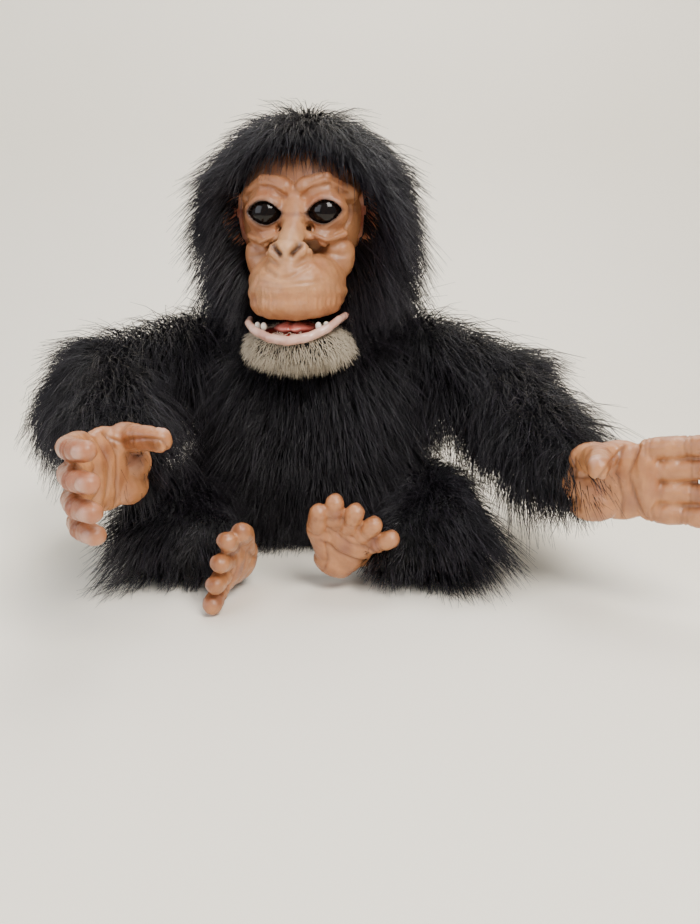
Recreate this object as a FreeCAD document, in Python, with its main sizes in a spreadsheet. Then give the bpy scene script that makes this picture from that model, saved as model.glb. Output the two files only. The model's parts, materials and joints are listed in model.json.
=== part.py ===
"""Sitting baby chimpanzee toy: a gear-driven plastic skeleton inside a long-pile fur body.

Units are millimetres. +Z is up, the toy looks towards -Y, and its own left side is at +X. The origin is the
centre of the flat seat panel that it sits on. Each sub-part is one document object and one file in parts/.
"""

import FreeCAD, Part
import Sketcher
import math
import os
import re

V = FreeCAD.Vector
SIDES = {"right": -1, "left": 1}  # the toy's own right arm and leg are at -X

# ------------------------------------------------------------------ driving dimensions

DIMENSIONS = {
    # torso shell, a rounded box in two halves that meet at Y = 0
    "shell_across": 112, "shell_deep": 84, "shell_low": 12, "shell_high": 146, "shell_round": 20, "wall": 2.5,
    # fur body over the shell, and the flat panel under it
    "body_across": 140, "body_deep": 116, "body_high": 152, "body_round": 44, "seat_radius": 42, "seat_thick": 4,
    # decks that carry the two gear motors and the shafts
    "deck_thick": 2.5, "lower_deck": 110, "upper_deck": 134,
    # hug drive: two toothed sectors that mesh on the centre line, and one pinion
    "hug_module": 1.5, "hug_teeth": 60, "pinion_teeth": 12, "gear_thick": 5, "hug_shaft": 4, "hug_offset": 45,
    "hug_back": 8, "sector_low": 114, "bracket_low": 121, "bracket_thick": 10,
    # neck drive
    "neck_module": 1, "neck_teeth": 36, "neck_back": 3, "column_radius": 7, "neck_gear_low": 138, "nod_height": 180,
    # arms: shoulder pivot, limb lengths, frame bars and fur sleeves
    "shoulder_out": 74, "shoulder_back": 4, "shoulder_high": 142, "upper_arm": 78, "forearm": 105,
    "bar_radius": 5, "trunnion_radius": 2.5, "lift_pin": 3, "sleeve_radius": 27, "sleeve_core": 12,
    "elbow_ball": 32, "cuff_radius": 28, "peg_radius": 4,
    # hands
    "palm_long": 50, "palm_wide": 50, "palm_thick": 18, "finger_radius": 6.5, "finger_pitch": 12.8,
    # legs and feet
    "thigh_radius": 26, "shin_radius": 23, "foot_neck": 9, "sole_long": 40, "sole_wide": 34, "sole_thick": 15,
    "toe_radius": 6, "toe_pitch": 11.6, "hip_ball": 6,
    # head, measured from the nod pivot
    "skull_half": 46, "skull_deep": 48, "skull_tall": 54, "skull_mid": 60, "skin": 3,
    "muzzle_half": 33, "muzzle_deep": 42, "muzzle_tall": 27, "muzzle_fore": 58, "muzzle_mid": 14,
    "eye_radius": 12, "eye_out": 20, "eye_fore": 46, "eye_mid": 60, "lid_thick": 1.2, "lid_gap": 0.4,
    "jaw_fore": 54, "jaw_low": 16, "jaw_half": 30, "jaw_deep": 42, "jaw_tall": 13, "jaw_hinge_fore": 8,
    "jaw_hinge_mid": 4, "head_module": 0.8, "head_sector_teeth": 40, "head_pinion_teeth": 10,
    "hood_half": 76, "hood_deep": 70, "hood_tall": 74, "hood_mid": 64,
    # battery tray for four AA cells
    "cell_radius": 7.25, "cell_long": 50.5, "tray_low": 34, "tray_wall": 1.8, "switch_low": 96,
    # running clearance of shafts and pins in their bores, and the gap left round soft pieces
    "running": 0.06, "soft_gap": 1,
}

# Directions of the limbs at rest, from the toy's own pose: arms held out to hug, the left hand turned outwards.
UPPER_ARM = {"right": (-0.88, -0.38, -0.29), "left": (0.86, -0.31, -0.41)}
FOREARM = {"right": (0.33, -0.92, -0.22), "left": (0.27, -0.93, -0.26)}
FINGERS = {"right": (-0.35, -0.93, 0.04), "left": (0.87, -0.47, 0.14)}
PALM_FACES = {"right": (0.93, -0.35, 0.05), "left": (-0.45, -0.88, 0.0)}
FINGER_CURL = {"right": 24, "left": 5}  # degrees at each knuckle
ELBOW_CLOSES = 15  # degrees of bend from the rest pose
KNEE = {"right": (-94, -94, 29), "left": (92, -98, 29)}
ANKLE = {"right": (-61, -106, 26), "left": (55, -106, 26)}
HEEL = {"right": (-40, -113, 20), "left": (19, -117.5, 19.5)}
TOES = {"right": (-0.33, -0.92, 0.21), "left": (0.48, -0.22, 0.85)}
SOLE_FACES = {"right": (0.85, -0.42, -0.2), "left": (-0.12, -0.97, -0.2)}
HEAD_YAW, HEAD_ROLL = -6, -1  # degrees: the head looks a little to its right

doc = FreeCAD.newDocument("sitting_chimp")
sheet = doc.addObject("Spreadsheet::Sheet", "dims")
for row, (alias, value) in enumerate(DIMENSIONS.items(), start=1):
    sheet.set(f"A{row}", alias.replace("_", " "))
    sheet.set(f"B{row}", str(value))
    sheet.setAlias(f"B{row}", alias)
doc.recompute()

parts = []  # the sub-parts, in the order they are made


def mm(alias):
    """The value of one driving dimension, from the sheet."""
    return float(sheet.get(alias))


def bound(expression):
    """An expression in driving dimensions, with each name pointed at the sheet."""
    return re.sub(r"[a-z][a-z_]*", lambda m: "dims." + m.group() if m.group() in DIMENSIONS else m.group(),
                  str(expression))


def bind(thing, **sizes):
    """Binds properties of a document object to expressions in the driving dimensions."""
    for name, expression in sizes.items():
        thing.setExpression(name, bound(expression))
    return thing


def move(thing, at, turn=None):
    """Places a document object: at is three expressions, and turn is (axis, degrees)."""
    if turn:
        thing.Placement = FreeCAD.Placement(V(), FreeCAD.Rotation(V(*turn[0]), turn[1]))
    for axis, expression in zip("xyz", at):
        thing.setExpression(f"Placement.Base.{axis}", bound(expression))
    return thing


def box(across, deep, high, at):
    """A box whose centre in X and Y, and whose underside, are at the given place."""
    made = bind(doc.addObject("Part::Box", "block"), Length=across, Width=deep, Height=high)
    return move(made, (f"({at[0]}) - ({across}) / 2", f"({at[1]}) - ({deep}) / 2", at[2]))


def rod(radius, length, at, along="Z"):
    """A cylinder that starts at the given place and runs along an axis: X, Y, Z, or -X, -Y."""
    made = bind(doc.addObject("Part::Cylinder", "rod"), Radius=radius, Height=length)
    turns = {"Z": None, "X": ((0, 1, 0), 90), "-X": ((0, 1, 0), -90), "Y": ((1, 0, 0), -90), "-Y": ((1, 0, 0), 90)}
    return move(made, at, turns[along])


def egg(across, deep, tall, at):
    """An ellipsoid with these three radii."""
    made = bind(doc.addObject("Part::Ellipsoid", "egg"), Radius1=tall, Radius2=across, Radius3=deep)
    made.Angle1 = -90
    return move(made, at)


def cut(base, *tools):
    """The base with each tool taken away in turn."""
    for tool in tools:
        step = doc.addObject("Part::Cut", "cut")
        step.Base, step.Tool = base, tool
        base = step
    return base


def fuse(*things):
    made = doc.addObject("Part::MultiFuse", "fuse")
    made.Shapes = list(things)
    return made


def common(a, b):
    made = doc.addObject("Part::Common", "common")
    made.Base, made.Tool = a, b
    return made


def feature(shape):
    """A solid made with Part's own functions, where no document feature fits."""
    made = doc.addObject("Part::Feature", "solid")
    made.Shape = shape
    return made


def sub_part(label, *things, frame=FreeCAD.Placement()):
    """Registers one sub-part: its solids, kept separate, with the placement of the frame they were drawn in."""
    made = doc.addObject("Part::Compound", label)
    made.Label = label
    made.Links = list(things)
    made.Placement = frame
    parts.append(made)
    return made


def framed(thing, frame):
    """A document object carried into another frame."""
    made = doc.addObject("Part::Compound", "framed")
    made.Links = [thing]
    made.Placement = frame
    return made


def plane(body, role):
    return next(f for f in body.Origin.OriginFeatures if f.Role == role)


def outline(body, corners, role="XY_Plane", offset="0"):
    """A closed sketch on one of a body's own planes, with each corner tied to two expressions."""
    sketch = body.newObject("Sketcher::SketchObject", "outline")
    sketch.AttachmentSupport = [(plane(body, role), "")]
    sketch.MapMode = "FlatFace"
    sketch.setExpression("AttachmentOffset.Base.z", bound(offset))
    places = [tuple(doc.dims.evalExpression(bound(c).replace("dims.", "")) for c in corner) for corner in corners]
    for n, start in enumerate(places):
        end = places[(n + 1) % len(places)]
        sketch.addGeometry(Part.LineSegment(V(*start, 0), V(*end, 0)))
    for n in range(len(places)):
        sketch.addConstraint(Sketcher.Constraint("Coincident", n, 2, (n + 1) % len(places), 1))
    for n, corner in enumerate(corners):
        for kind, value, expression in zip(("DistanceX", "DistanceY"), places[n], corner):
            index = sketch.addConstraint(Sketcher.Constraint(kind, -1, 1, n, 1, value))
            sketch.setExpression(f"Constraints[{index}]", bound(expression))
    return sketch


def ring_sketch(body, radius, at, role="XY_Plane", offset="0"):
    """A circle sketch on one of a body's own planes."""
    sketch = body.newObject("Sketcher::SketchObject", "circle")
    sketch.AttachmentSupport = [(plane(body, role), "")]
    sketch.MapMode = "FlatFace"
    sketch.setExpression("AttachmentOffset.Base.z", bound(offset))
    places = [doc.dims.evalExpression(bound(c).replace("dims.", "")) for c in at]
    size = doc.dims.evalExpression(bound(radius).replace("dims.", ""))
    sketch.addGeometry(Part.Circle(V(*places, 0), V(0, 0, 1), size))
    for kind, value, expression in zip(("DistanceX", "DistanceY"), places, at):
        index = sketch.addConstraint(Sketcher.Constraint(kind, -1, 1, 0, 3, value))
        sketch.setExpression(f"Constraints[{index}]", bound(expression))
    index = sketch.addConstraint(Sketcher.Constraint("Radius", 0, size))
    sketch.setExpression(f"Constraints[{index}]", bound(radius))
    return sketch


def pad(body, sketch, length):
    made = body.newObject("PartDesign::Pad", "pad")
    made.Profile = sketch
    made.setExpression("Length", bound(length))
    body.Tip = made
    doc.recompute()
    return made


def pocket(body, sketch):
    """Cuts a sketch right through the body, both ways."""
    before = body.Shape.Volume
    made = body.newObject("PartDesign::Pocket", "pocket")
    made.Profile, made.Type, made.Midplane, made.Length = sketch, "Length", True, 400
    body.Tip = made
    doc.recompute()
    assert body.Shape.Volume < before, "a pocket that cuts nothing"
    return made


def rounded_block(across, deep, low, high, radius):
    """A box with every edge rounded, as a Body: a padded rectangle with one fillet."""
    body = doc.addObject("PartDesign::Body", "rounded_block")
    w, d = f"({across}) / 2", f"({deep}) / 2"
    corners = [(f"-{w}", f"-{d}"), (w, f"-{d}"), (w, d), (f"-{w}", d)]
    base = pad(body, outline(body, corners, offset=low), f"({high}) - ({low})")
    rounds = body.newObject("PartDesign::Fillet", "rounds")
    rounds.Base = (base, [f"Edge{n}" for n in range(1, len(base.Shape.Edges) + 1)])
    rounds.setExpression("Radius", bound(radius))
    body.Tip = rounds
    doc.recompute()
    return body


def plate(across, deep, low, thick, holes=()):
    """A flat plate with corners cut at 45 degrees, and round holes given as (radius, x, y)."""
    body = doc.addObject("PartDesign::Body", "plate")
    w, d, c = f"({across}) / 2", f"({deep}) / 2", "shell_round * 0.72"
    corners = [(f"{w} - {c}", f"-{d}"), (w, f"-{d} + {c}"), (w, f"{d} - {c}"), (f"{w} - {c}", d),
               (f"-{w} + {c}", d), (f"-{w}", f"{d} - {c}"), (f"-{w}", f"-{d} + {c}"), (f"-{w} + {c}", f"-{d}")]
    pad(body, outline(body, corners, offset=low), thick)
    for radius, x, y in holes:
        pocket(body, ring_sketch(body, radius, (x, y), offset=low))
    return body


# ------------------------------------------------------------------ solids drawn with Part's own functions


def unit(direction):
    made = V(*direction)
    made.normalize()
    return made


def frame_at(origin, x_axis, towards_y):
    """The placement with this origin and X axis, and its Y axis as near as it can be to another direction."""
    x = unit(x_axis)
    z = x.cross(V(*towards_y))
    z.normalize()
    y = z.cross(x)
    turn = FreeCAD.Rotation(FreeCAD.Matrix(x.x, y.x, z.x, 0, x.y, y.y, z.y, 0, x.z, y.z, z.z, 0, 0, 0, 0, 1))
    return FreeCAD.Placement(V(*origin), turn)


def capsule(start, end, first, last):
    """A tapered bar from one point to another with a ball at each end."""
    start, end = V(*start), V(*end)
    along = end - start
    bar = (Part.makeCylinder(first, along.Length, start, along) if abs(first - last) < 1e-6
           else Part.makeCone(first, last, along.Length, start, along))
    return bar.fuse([Part.makeSphere(first, start), Part.makeSphere(last, end)])


def involute(angle):
    return math.tan(angle) - angle


def gear(module, teeth, thick, low, bore=0, first=0, count=None, hub=None):
    """A spur gear about Z with 20 degree involute teeth. With count, a sector of that many teeth round a hub."""
    pressure, backlash = math.radians(20), 0.16
    pitch = module * teeth / 2
    base, tip, root = pitch * math.cos(pressure), pitch + module, pitch - 1.25 * module
    radii = [max(base, root) + (tip - max(base, root)) * n / 4 for n in range(5)]

    def half(radius):
        """Half a tooth's angle at this radius."""
        lean = involute(pressure) - involute(math.acos(min(1, base / radius)))
        return math.pi / 2 / teeth - backlash / 2 / pitch + lean

    def at(radius, angle):
        return V(radius * math.cos(angle), radius * math.sin(angle), low)

    points = []
    for n in range(count or teeth):
        middle = 2 * math.pi * (first + n) / teeth
        flank = [(root, half(radii[0]))] if root < base else []
        flank += [(r, half(r)) for r in radii]
        points += [at(r, middle - a) for r, a in flank] + [at(r, middle + a) for r, a in reversed(flank)]
    if count:
        points.append(V(0, 0, low))
    solid = Part.Face(Part.makePolygon(points + points[:1])).extrude(V(0, 0, thick))
    if count:
        solid = solid.fuse(Part.makeCylinder(hub or 2.2 * module + 5, thick, V(0, 0, low)))
    return solid.cut(Part.makeCylinder(bore, 3 * thick, V(0, 0, low - thick))) if bore else solid


def placed(shape, at, turn=0, axis=(0, 0, 1)):
    """A copy of a shape, turned about an axis through the origin and then moved."""
    made = shape.copy()
    made.Placement = FreeCAD.Placement(V(*at), FreeCAD.Rotation(V(*axis), turn)).multiply(shape.Placement)
    return made


def gear_motor(size, shaft_radius, shaft_long):
    """A closed gearbox block with a motor can on one end, and its output shaft standing on top at the origin."""
    across, deep, high = size
    case = Part.makeBox(across, deep, high, V(-across / 2, -deep / 2, -high))
    case = case.makeFillet(1.5, [e for e in case.Edges if abs(e.tangentAt(0).z) > 0.9])
    shaft = Part.makeCylinder(shaft_radius, shaft_long, V(0, 0, -1))
    collar = Part.makeCylinder(shaft_radius + 2, 0.8, V(0, 0, 0))
    return case.fuse([shaft, collar])


# ------------------------------------------------------------------ torso: shells, seat and fur body

shell_outer = rounded_block("shell_across", "shell_deep", "shell_low", "shell_high", "shell_round")
shell_inner = rounded_block("shell_across - 2 * wall", "shell_deep - 2 * wall", "shell_low + wall",
                            "shell_high - wall", "shell_round - wall")
BOSSES = [(x, z) for x in (-40, 40) for z in (40, 98)]


def shell_half(front):
    """One half of the torso shell with its four screw bosses, the shoulder slots and the neck hole."""
    hollow = cut(shell_outer, shell_inner)
    side = "-1" if front else "1"
    this_side = box("shell_across + 2", "shell_deep", "shell_high + 20", ("0", f"{side} * shell_deep / 2", "0"))
    half = common(hollow, this_side)
    bosses = [rod("4", "shell_deep / 2 - 4", (x, "0", z), "-Y" if front else "Y") for x, z in BOSSES]
    pilots = [rod("1.3" if front else "1.8", "shell_deep / 2", (x, "0", z), "-Y" if front else "Y")
              for x, z in BOSSES]
    if front:
        pilots = [common(pilot, box("shell_across", "60", "shell_high", ("0", "0", "0"))) for pilot in pilots]
    slots = box("shell_across + 10", "56", "bracket_thick + 4", ("0", "hug_back", "bracket_low - 2"))
    middle = box("shell_across - 24", "70", "bracket_thick + 40", ("0", "hug_back", "bracket_low - 20"))
    neck = rod("column_radius + 3", "40", ("0", "neck_back", "shell_high - 20"))
    return cut(fuse(half, *bosses), cut(slots, middle), neck, *pilots)


front_shell = shell_half(True)
grille = [rod("1.2", "20", (6 * column, "-shell_deep / 2 + 10", 58 + 6 * row), "-Y")
          for column in range(-2, 3) for row in range(-2, 3) if abs(column) + abs(row) < 4]
sub_part("torso_front_shell", cut(front_shell, *grille))

rear_shell = shell_half(False)
heads = [rod("3.4", "14", (x, "shell_deep / 2 - 8", z), "Y") for x, z in BOSSES]
door = box("8 * cell_radius + 6", "20", "cell_long + 6", ("0", "shell_deep / 2", "tray_low - 1"))
switch_window = box("10", "20", "5", ("0", "shell_deep / 2", "switch_low + 2.5"))
sub_part("torso_rear_shell", cut(rear_shell, *heads, door, switch_window))

screws = [fuse(rod("1.25", "43.1", (x, "-9", z), "Y"), rod("3", "2.4", (x, "34.05", z), "Y")) for x, z in BOSSES]
cover_screw = fuse(rod("1.5", "3", ("0", "shell_deep / 2 - 2.4", "tray_low + cell_long + 1.4"), "Y"),
                   rod("2.8", "1.6", ("0", "shell_deep / 2 + 0.35", "tray_low + cell_long + 1.4"), "Y"))
sub_part("case_screws", *screws, cover_screw)

sub_part("seat_panel", rod("seat_radius", "seat_thick", ("0", "0", "0")))

CHIN = ("0", "neck_back - jaw_fore + 6", "nod_height - 26")
fur_outer = rounded_block("body_across", "body_deep", "seat_thick", "body_high", "body_round")
fur_inner = rounded_block("shell_across + 2 * soft_gap", "shell_deep + 2 * soft_gap", "shell_low - soft_gap",
                          "shell_high + soft_gap", "shell_round")
scoops = [egg("33", "40", "34", (f"{s} * 86", "-24", "30")) for s in SIDES.values()]
scoops += [egg("34", "46", "38", (f"{s} * (shoulder_out + 4)", "-6", "shoulder_high - 2")) for s in SIDES.values()]
chin_room = egg("jaw_half + 20", "jaw_deep + 12", "44", CHIN)
neck_room = rod("26", "60", ("0", "neck_back", "shell_high - 10"))
strip_slot = box("44", "12", "64", ("0", "body_deep / 2", "tray_low"))
back_room = box("70", "8", "80", ("0", "shell_deep / 2 + 0.5", "tray_low - 4"))
stud_room = [rod("12", "20", (f"{s} * 55.8", "-14", "36"), "X" if s > 0 else "-X") for s in SIDES.values()]
sub_part("torso_fur", cut(fur_outer, fur_inner, *scoops, *stud_room, chin_room, neck_room, strip_slot, back_room))
sub_part("closure_strip", box("42", "1.6", "62", ("0", "body_deep / 2 - 5", "tray_low + 1")))

# ------------------------------------------------------------------ torso: power, sound and control

TRAY_ACROSS, TRAY_DEEP = "8 * cell_radius + 2 * tray_wall + 1", "2 * cell_radius + tray_wall + 1"
TRAY_FRONT = "shell_deep / 2 - wall - 0.2 - 2 * cell_radius - tray_wall - 1"
TRAY_MIDDLE = f"{TRAY_FRONT} + ({TRAY_DEEP}) / 2"
tray = box(TRAY_ACROSS, TRAY_DEEP, "cell_long + 2 * tray_wall + 3", ("0", TRAY_MIDDLE, "tray_low"))
bay = box("8 * cell_radius + 1", TRAY_DEEP, "cell_long + 3", ("0", f"{TRAY_MIDDLE} + tray_wall", "tray_low + tray_wall"))
sub_part("battery_tray", cut(tray, bay))
CELL_Y = f"{TRAY_FRONT} + tray_wall + cell_radius + 0.3"
CELL_X = [f"{n} * 2 * cell_radius" for n in (-1.5, -0.5, 0.5, 1.5)]
CELL_LOW = "tray_low + tray_wall + 1.2"
cells = [fuse(rod("cell_radius - 0.1", "cell_long - 1.2", (x, CELL_Y, CELL_LOW)),
              rod("2.7", "cell_long", (x, CELL_Y, CELL_LOW))) for x in CELL_X]
sub_part("battery_cells", *cells)
CONTACT_LOWS = ("tray_low + tray_wall + 0.1", "tray_low + tray_wall + cell_long + 2")
contacts = [box("9", "9", "0.6", (x, CELL_Y, low)) for x in CELL_X for low in CONTACT_LOWS]
sub_part("battery_contacts", *contacts)
COVER_Y = "shell_deep / 2 - wall / 2 + 0.3"
cover_panel = box("8 * cell_radius + 5.4", "wall", "cell_long + 5.4", ("0", COVER_Y, "tray_low - 0.7"))
cover_hole = rod("1.6", "20", ("0", "shell_deep / 2 - 10", "tray_low + cell_long + 1.4"), "Y")
sub_part("battery_cover", cut(cover_panel, cover_hole))

switch_case = box("22", "7", "10", ("0", "shell_deep / 2 - wall - 3.6", "switch_low"))
switch_well = box("9.2", "6", "4.2", ("0", "shell_deep / 2 - wall - 1", "switch_low + 2.9"))
sub_part("power_switch_body", cut(switch_case, switch_well))
sub_part("power_switch_slider", box("4", "7.6", "3.4", ("-2", "shell_deep / 2 - wall + 0.1", "switch_low + 3.3")))

speaker_magnet = rod("10", "7", ("0", "-shell_deep / 2 + wall + 8.2", "58"), "Y")
speaker_basket = cut(rod("20", "8", ("0", "-shell_deep / 2 + wall + 0.3", "58"), "Y"),
                     rod("17", "6.5", ("0", "-shell_deep / 2 + wall + 0.2", "58"), "Y"))
cone = bind(doc.addObject("Part::Cone", "cone"), Radius1="16.6", Radius2="6", Height="5.6")
move(cone, ("0", "-shell_deep / 2 + wall + 0.8", "58"), ((1, 0, 0), -90))
sub_part("speaker", fuse(speaker_basket, speaker_magnet), cone)

board = doc.addObject("PartDesign::Body", "board")
pad(board, outline(board, [("-33", "-13"), ("33", "-13"), ("33", "7"), ("-33", "7")], offset="20"), "60")
board_plate = common(board, box("70", "1.6", "70", ("0", "-9", "18")))
chips = [box("14", "2", "14", ("-12", "-10.85", "34")), box("9", "3", "9", ("14", "-11.35", "60")),
         box("18", "7", "5", ("12", "-13.35", "24"))]
sub_part("control_board", board_plate, *chips)

# ------------------------------------------------------------------ torso: decks, gear motors and the neck

PINION_ANGLE = 42  # degrees in front of the line between the hug shafts
hug_away = mm("hug_module") * (mm("hug_teeth") + mm("pinion_teeth")) / 2
pinion_x = mm("hug_offset") - hug_away * math.cos(math.radians(PINION_ANGLE))
pinion_y = mm("hug_back") - hug_away * math.sin(math.radians(PINION_ANGLE))
neck_pinion_x = mm("neck_module") * (mm("neck_teeth") + mm("pinion_teeth")) / 2
shaft_holes = [("hug_shaft + running", f"{s} * hug_offset", "hug_back") for s in SIDES.values()]
lower = plate("shell_across - 2 * wall - 1", "shell_deep - 2 * wall - 1", "lower_deck", "deck_thick",
              [*shaft_holes, ("4.5", pinion_x, pinion_y)])
upper = plate("shell_across - 2 * wall - 4", "shell_deep - 2 * wall - 4", "upper_deck", "deck_thick",
              [*shaft_holes, ("column_radius - 2 + running", "0", "neck_back"), ("3.5", neck_pinion_x, "neck_back")])
sub_part("lower_deck", lower)
sub_part("upper_deck", common(upper, shell_inner))
hug_motor, neck_motor = gear_motor((24, 19, 26), 2, 7), gear_motor((20, 22, 12), 1.5, 7)
UNDER_DECK = 0.1  # the gap between a gear motor's face and its deck
hug_motor_at = (pinion_x, pinion_y, mm("lower_deck") - UNDER_DECK)
neck_motor_at = (neck_pinion_x, mm("neck_back"), mm("upper_deck") - UNDER_DECK)
sub_part("hug_gear_motor", feature(placed(hug_motor, hug_motor_at)))
sub_part("neck_gear_motor", feature(placed(neck_motor, neck_motor_at)))

teeth = int(mm("hug_teeth"))
FIRST_TOOTH, SECTOR_TEETH = {"left": 27, "right": -5}, {"left": 16, "right": 9}
hug_gears = {}
for name, side in SIDES.items():
    # The right sector is turned half a tooth, so that its teeth fall in the left one's gaps.
    offset = 180 / teeth if side < 0 else 0
    solid = gear(mm("hug_module"), teeth, mm("gear_thick"), mm("sector_low"),
                 first=FIRST_TOOTH[name], count=SECTOR_TEETH[name])
    hug_gears[name] = placed(solid, (side * mm("hug_offset"), mm("hug_back"), 0), offset)

pinion = gear(mm("hug_module"), int(mm("pinion_teeth")), mm("gear_thick"), mm("sector_low"), 2 + mm("running"))
# A tooth gap of the pinion faces the sector's tooth on the line between them.
toward_sector = math.degrees(math.atan2(mm("hug_back") - pinion_y, mm("hug_offset") - pinion_x))
sector_phase = (180 + PINION_ANGLE) % (360 / teeth)
pinion_turn = toward_sector + 180 / mm("pinion_teeth") + sector_phase * teeth / mm("pinion_teeth")
sub_part("hug_pinion", feature(placed(pinion, (pinion_x, pinion_y, 0), pinion_turn)))

for name, side in SIDES.items():
    x = f"{side} * hug_offset"
    shaft = rod("hug_shaft", "upper_deck + deck_thick - lower_deck", (x, "hug_back", "lower_deck"))
    reach = "shoulder_out - 9 - hug_offset"
    arm = box(reach, "12", "bracket_thick", (f"{x} + {side} * ({reach}) / 2", "hug_back", "bracket_low"))
    hub = rod("8", "bracket_thick", (x, "hug_back", "bracket_low"))
    foot = rod("7", "bracket_low - sector_low", (x, "hug_back", "sector_low"))
    plate_x = f"{side} * (shoulder_out - 8)"
    end = box("4", "20", "30", (plate_x, "shoulder_back + 1", "bracket_low"))
    direction = "X" if side > 0 else "-X"
    pin = rod("lift_pin", "16", (f"{side} * (shoulder_out - 8)", "shoulder_back", "shoulder_high"), direction)
    pin_end = (f"{side} * (shoulder_out + 7.2)", "shoulder_back", "shoulder_high")
    pin_head = rod("lift_pin + 1.6", "1.6", pin_end, direction)
    sub_part(f"{name}_shoulder_yoke", fuse(feature(hug_gears[name]), shaft, hub, foot, arm, end, pin, pin_head))

neck_gear = gear(mm("neck_module"), int(mm("neck_teeth")), 4, mm("neck_gear_low"))
head_turn = FreeCAD.Rotation(V(0, 0, 1), HEAD_YAW).multiply(FreeCAD.Rotation(V(0, 1, 0), HEAD_ROLL))
head = FreeCAD.Placement(V(0, mm("neck_back"), mm("nod_height")), head_turn)
barrel = framed(rod("6", "18.6", ("-9.3", "0", "0"), "X"), head)
bore = framed(rod("2 + running", "30", ("-15", "0", "0"), "X"), head)
column = fuse(feature(placed(neck_gear, (0, mm("neck_back"), 0))),
              rod("column_radius - 2", "neck_gear_low - upper_deck", ("0", "neck_back", "upper_deck")),
              rod("column_radius", "nod_height - 6 - neck_gear_low", ("0", "neck_back", "neck_gear_low")),
              box("12", "9", "10", ("0", "neck_back", "nod_height - 10")), barrel)
sub_part("neck_column", cut(column, bore))
neck_pinion = gear(mm("neck_module"), int(mm("pinion_teeth")), 4, mm("neck_gear_low"), 1.5 + mm("running"))
HALF_TOOTH = 180 / mm("pinion_teeth")
sub_part("neck_pinion", feature(placed(neck_pinion, (neck_pinion_x, mm("neck_back"), 0), 180 + HALF_TOOTH)))
bush = fuse(rod("column_radius + 2.9", "wall + 1", ("0", "neck_back", "shell_high - wall")),
            rod("column_radius + 6", "1.6", ("0", "neck_back", "shell_high + 0.05")))
sub_part("neck_bush", cut(bush, rod("column_radius + running", "20", ("0", "neck_back", "shell_high - 10"))))

# ------------------------------------------------------------------ arms and hands


def hand_solid(side, curl):
    """A moulded hand. X runs along the fingers, Y out of the palm, and the thumb is on the radial side."""
    long, wide, thick = mm("palm_long"), mm("palm_wide"), mm("palm_thick")
    palm = Part.makeBox(long, thick, wide, V(0, -thick / 2, -wide / 2))
    palm = palm.makeFillet(thick * 0.46, palm.Edges)
    pieces = []
    lengths = [(22, 17, 13), (25, 19, 14), (24, 18, 13), (19, 14, 12)]  # index to little finger
    for n, joints in enumerate(lengths):
        place = V(long - 5, 0, side * (1.5 - n) * mm("finger_pitch"))
        lean, radius = 0, mm("finger_radius")
        for step in joints:
            lean += curl
            end = place + V(step * math.cos(math.radians(lean)), step * math.sin(math.radians(lean)), 0)
            pieces.append(capsule(place, end, radius, radius - 0.4))
            place, radius = end, radius - 0.4
    root, knuckle = V(13, 3, side * 9), V(19, 20, side * 13)
    pieces += [capsule(root, knuckle, 9, 7.2), capsule(knuckle, V(22, 37, side * 15), 7.2, 6)]
    return palm.multiFuse(pieces)


def tube_to(start, end, radius):
    start, end = V(*start), V(*end)
    return Part.makeCylinder(radius, (end - start).Length, start, end - start)


def lower_sleeve(ball, cuff, length, core):
    """The forearm's fur about the X axis: a hollow ball at the elbow that runs into a tube as far as the cuff."""
    lean, room = math.radians(70), core + 5
    join = V(ball * math.cos(lean), ball * math.sin(lean), 0)
    inner = V(math.sqrt(room ** 2 - (core - 1) ** 2), core - 1, 0)
    half = math.radians(125)
    edges = [Part.Arc(V(-ball, 0, 0), V(ball * math.cos(half), ball * math.sin(half), 0), join).toShape(),
             Part.makeLine(join, V(length, cuff, 0)), Part.makeLine(V(length, cuff, 0), V(length, core - 1, 0)),
             Part.makeLine(V(length, core - 1, 0), inner),
             Part.Arc(inner, V(0, room, 0), V(-room, 0, 0)).toShape(), Part.makeLine(V(-room, 0, 0), V(-ball, 0, 0))]
    return Part.Face(Part.Wire(edges)).revolve(V(), V(1, 0, 0), 360)


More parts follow.
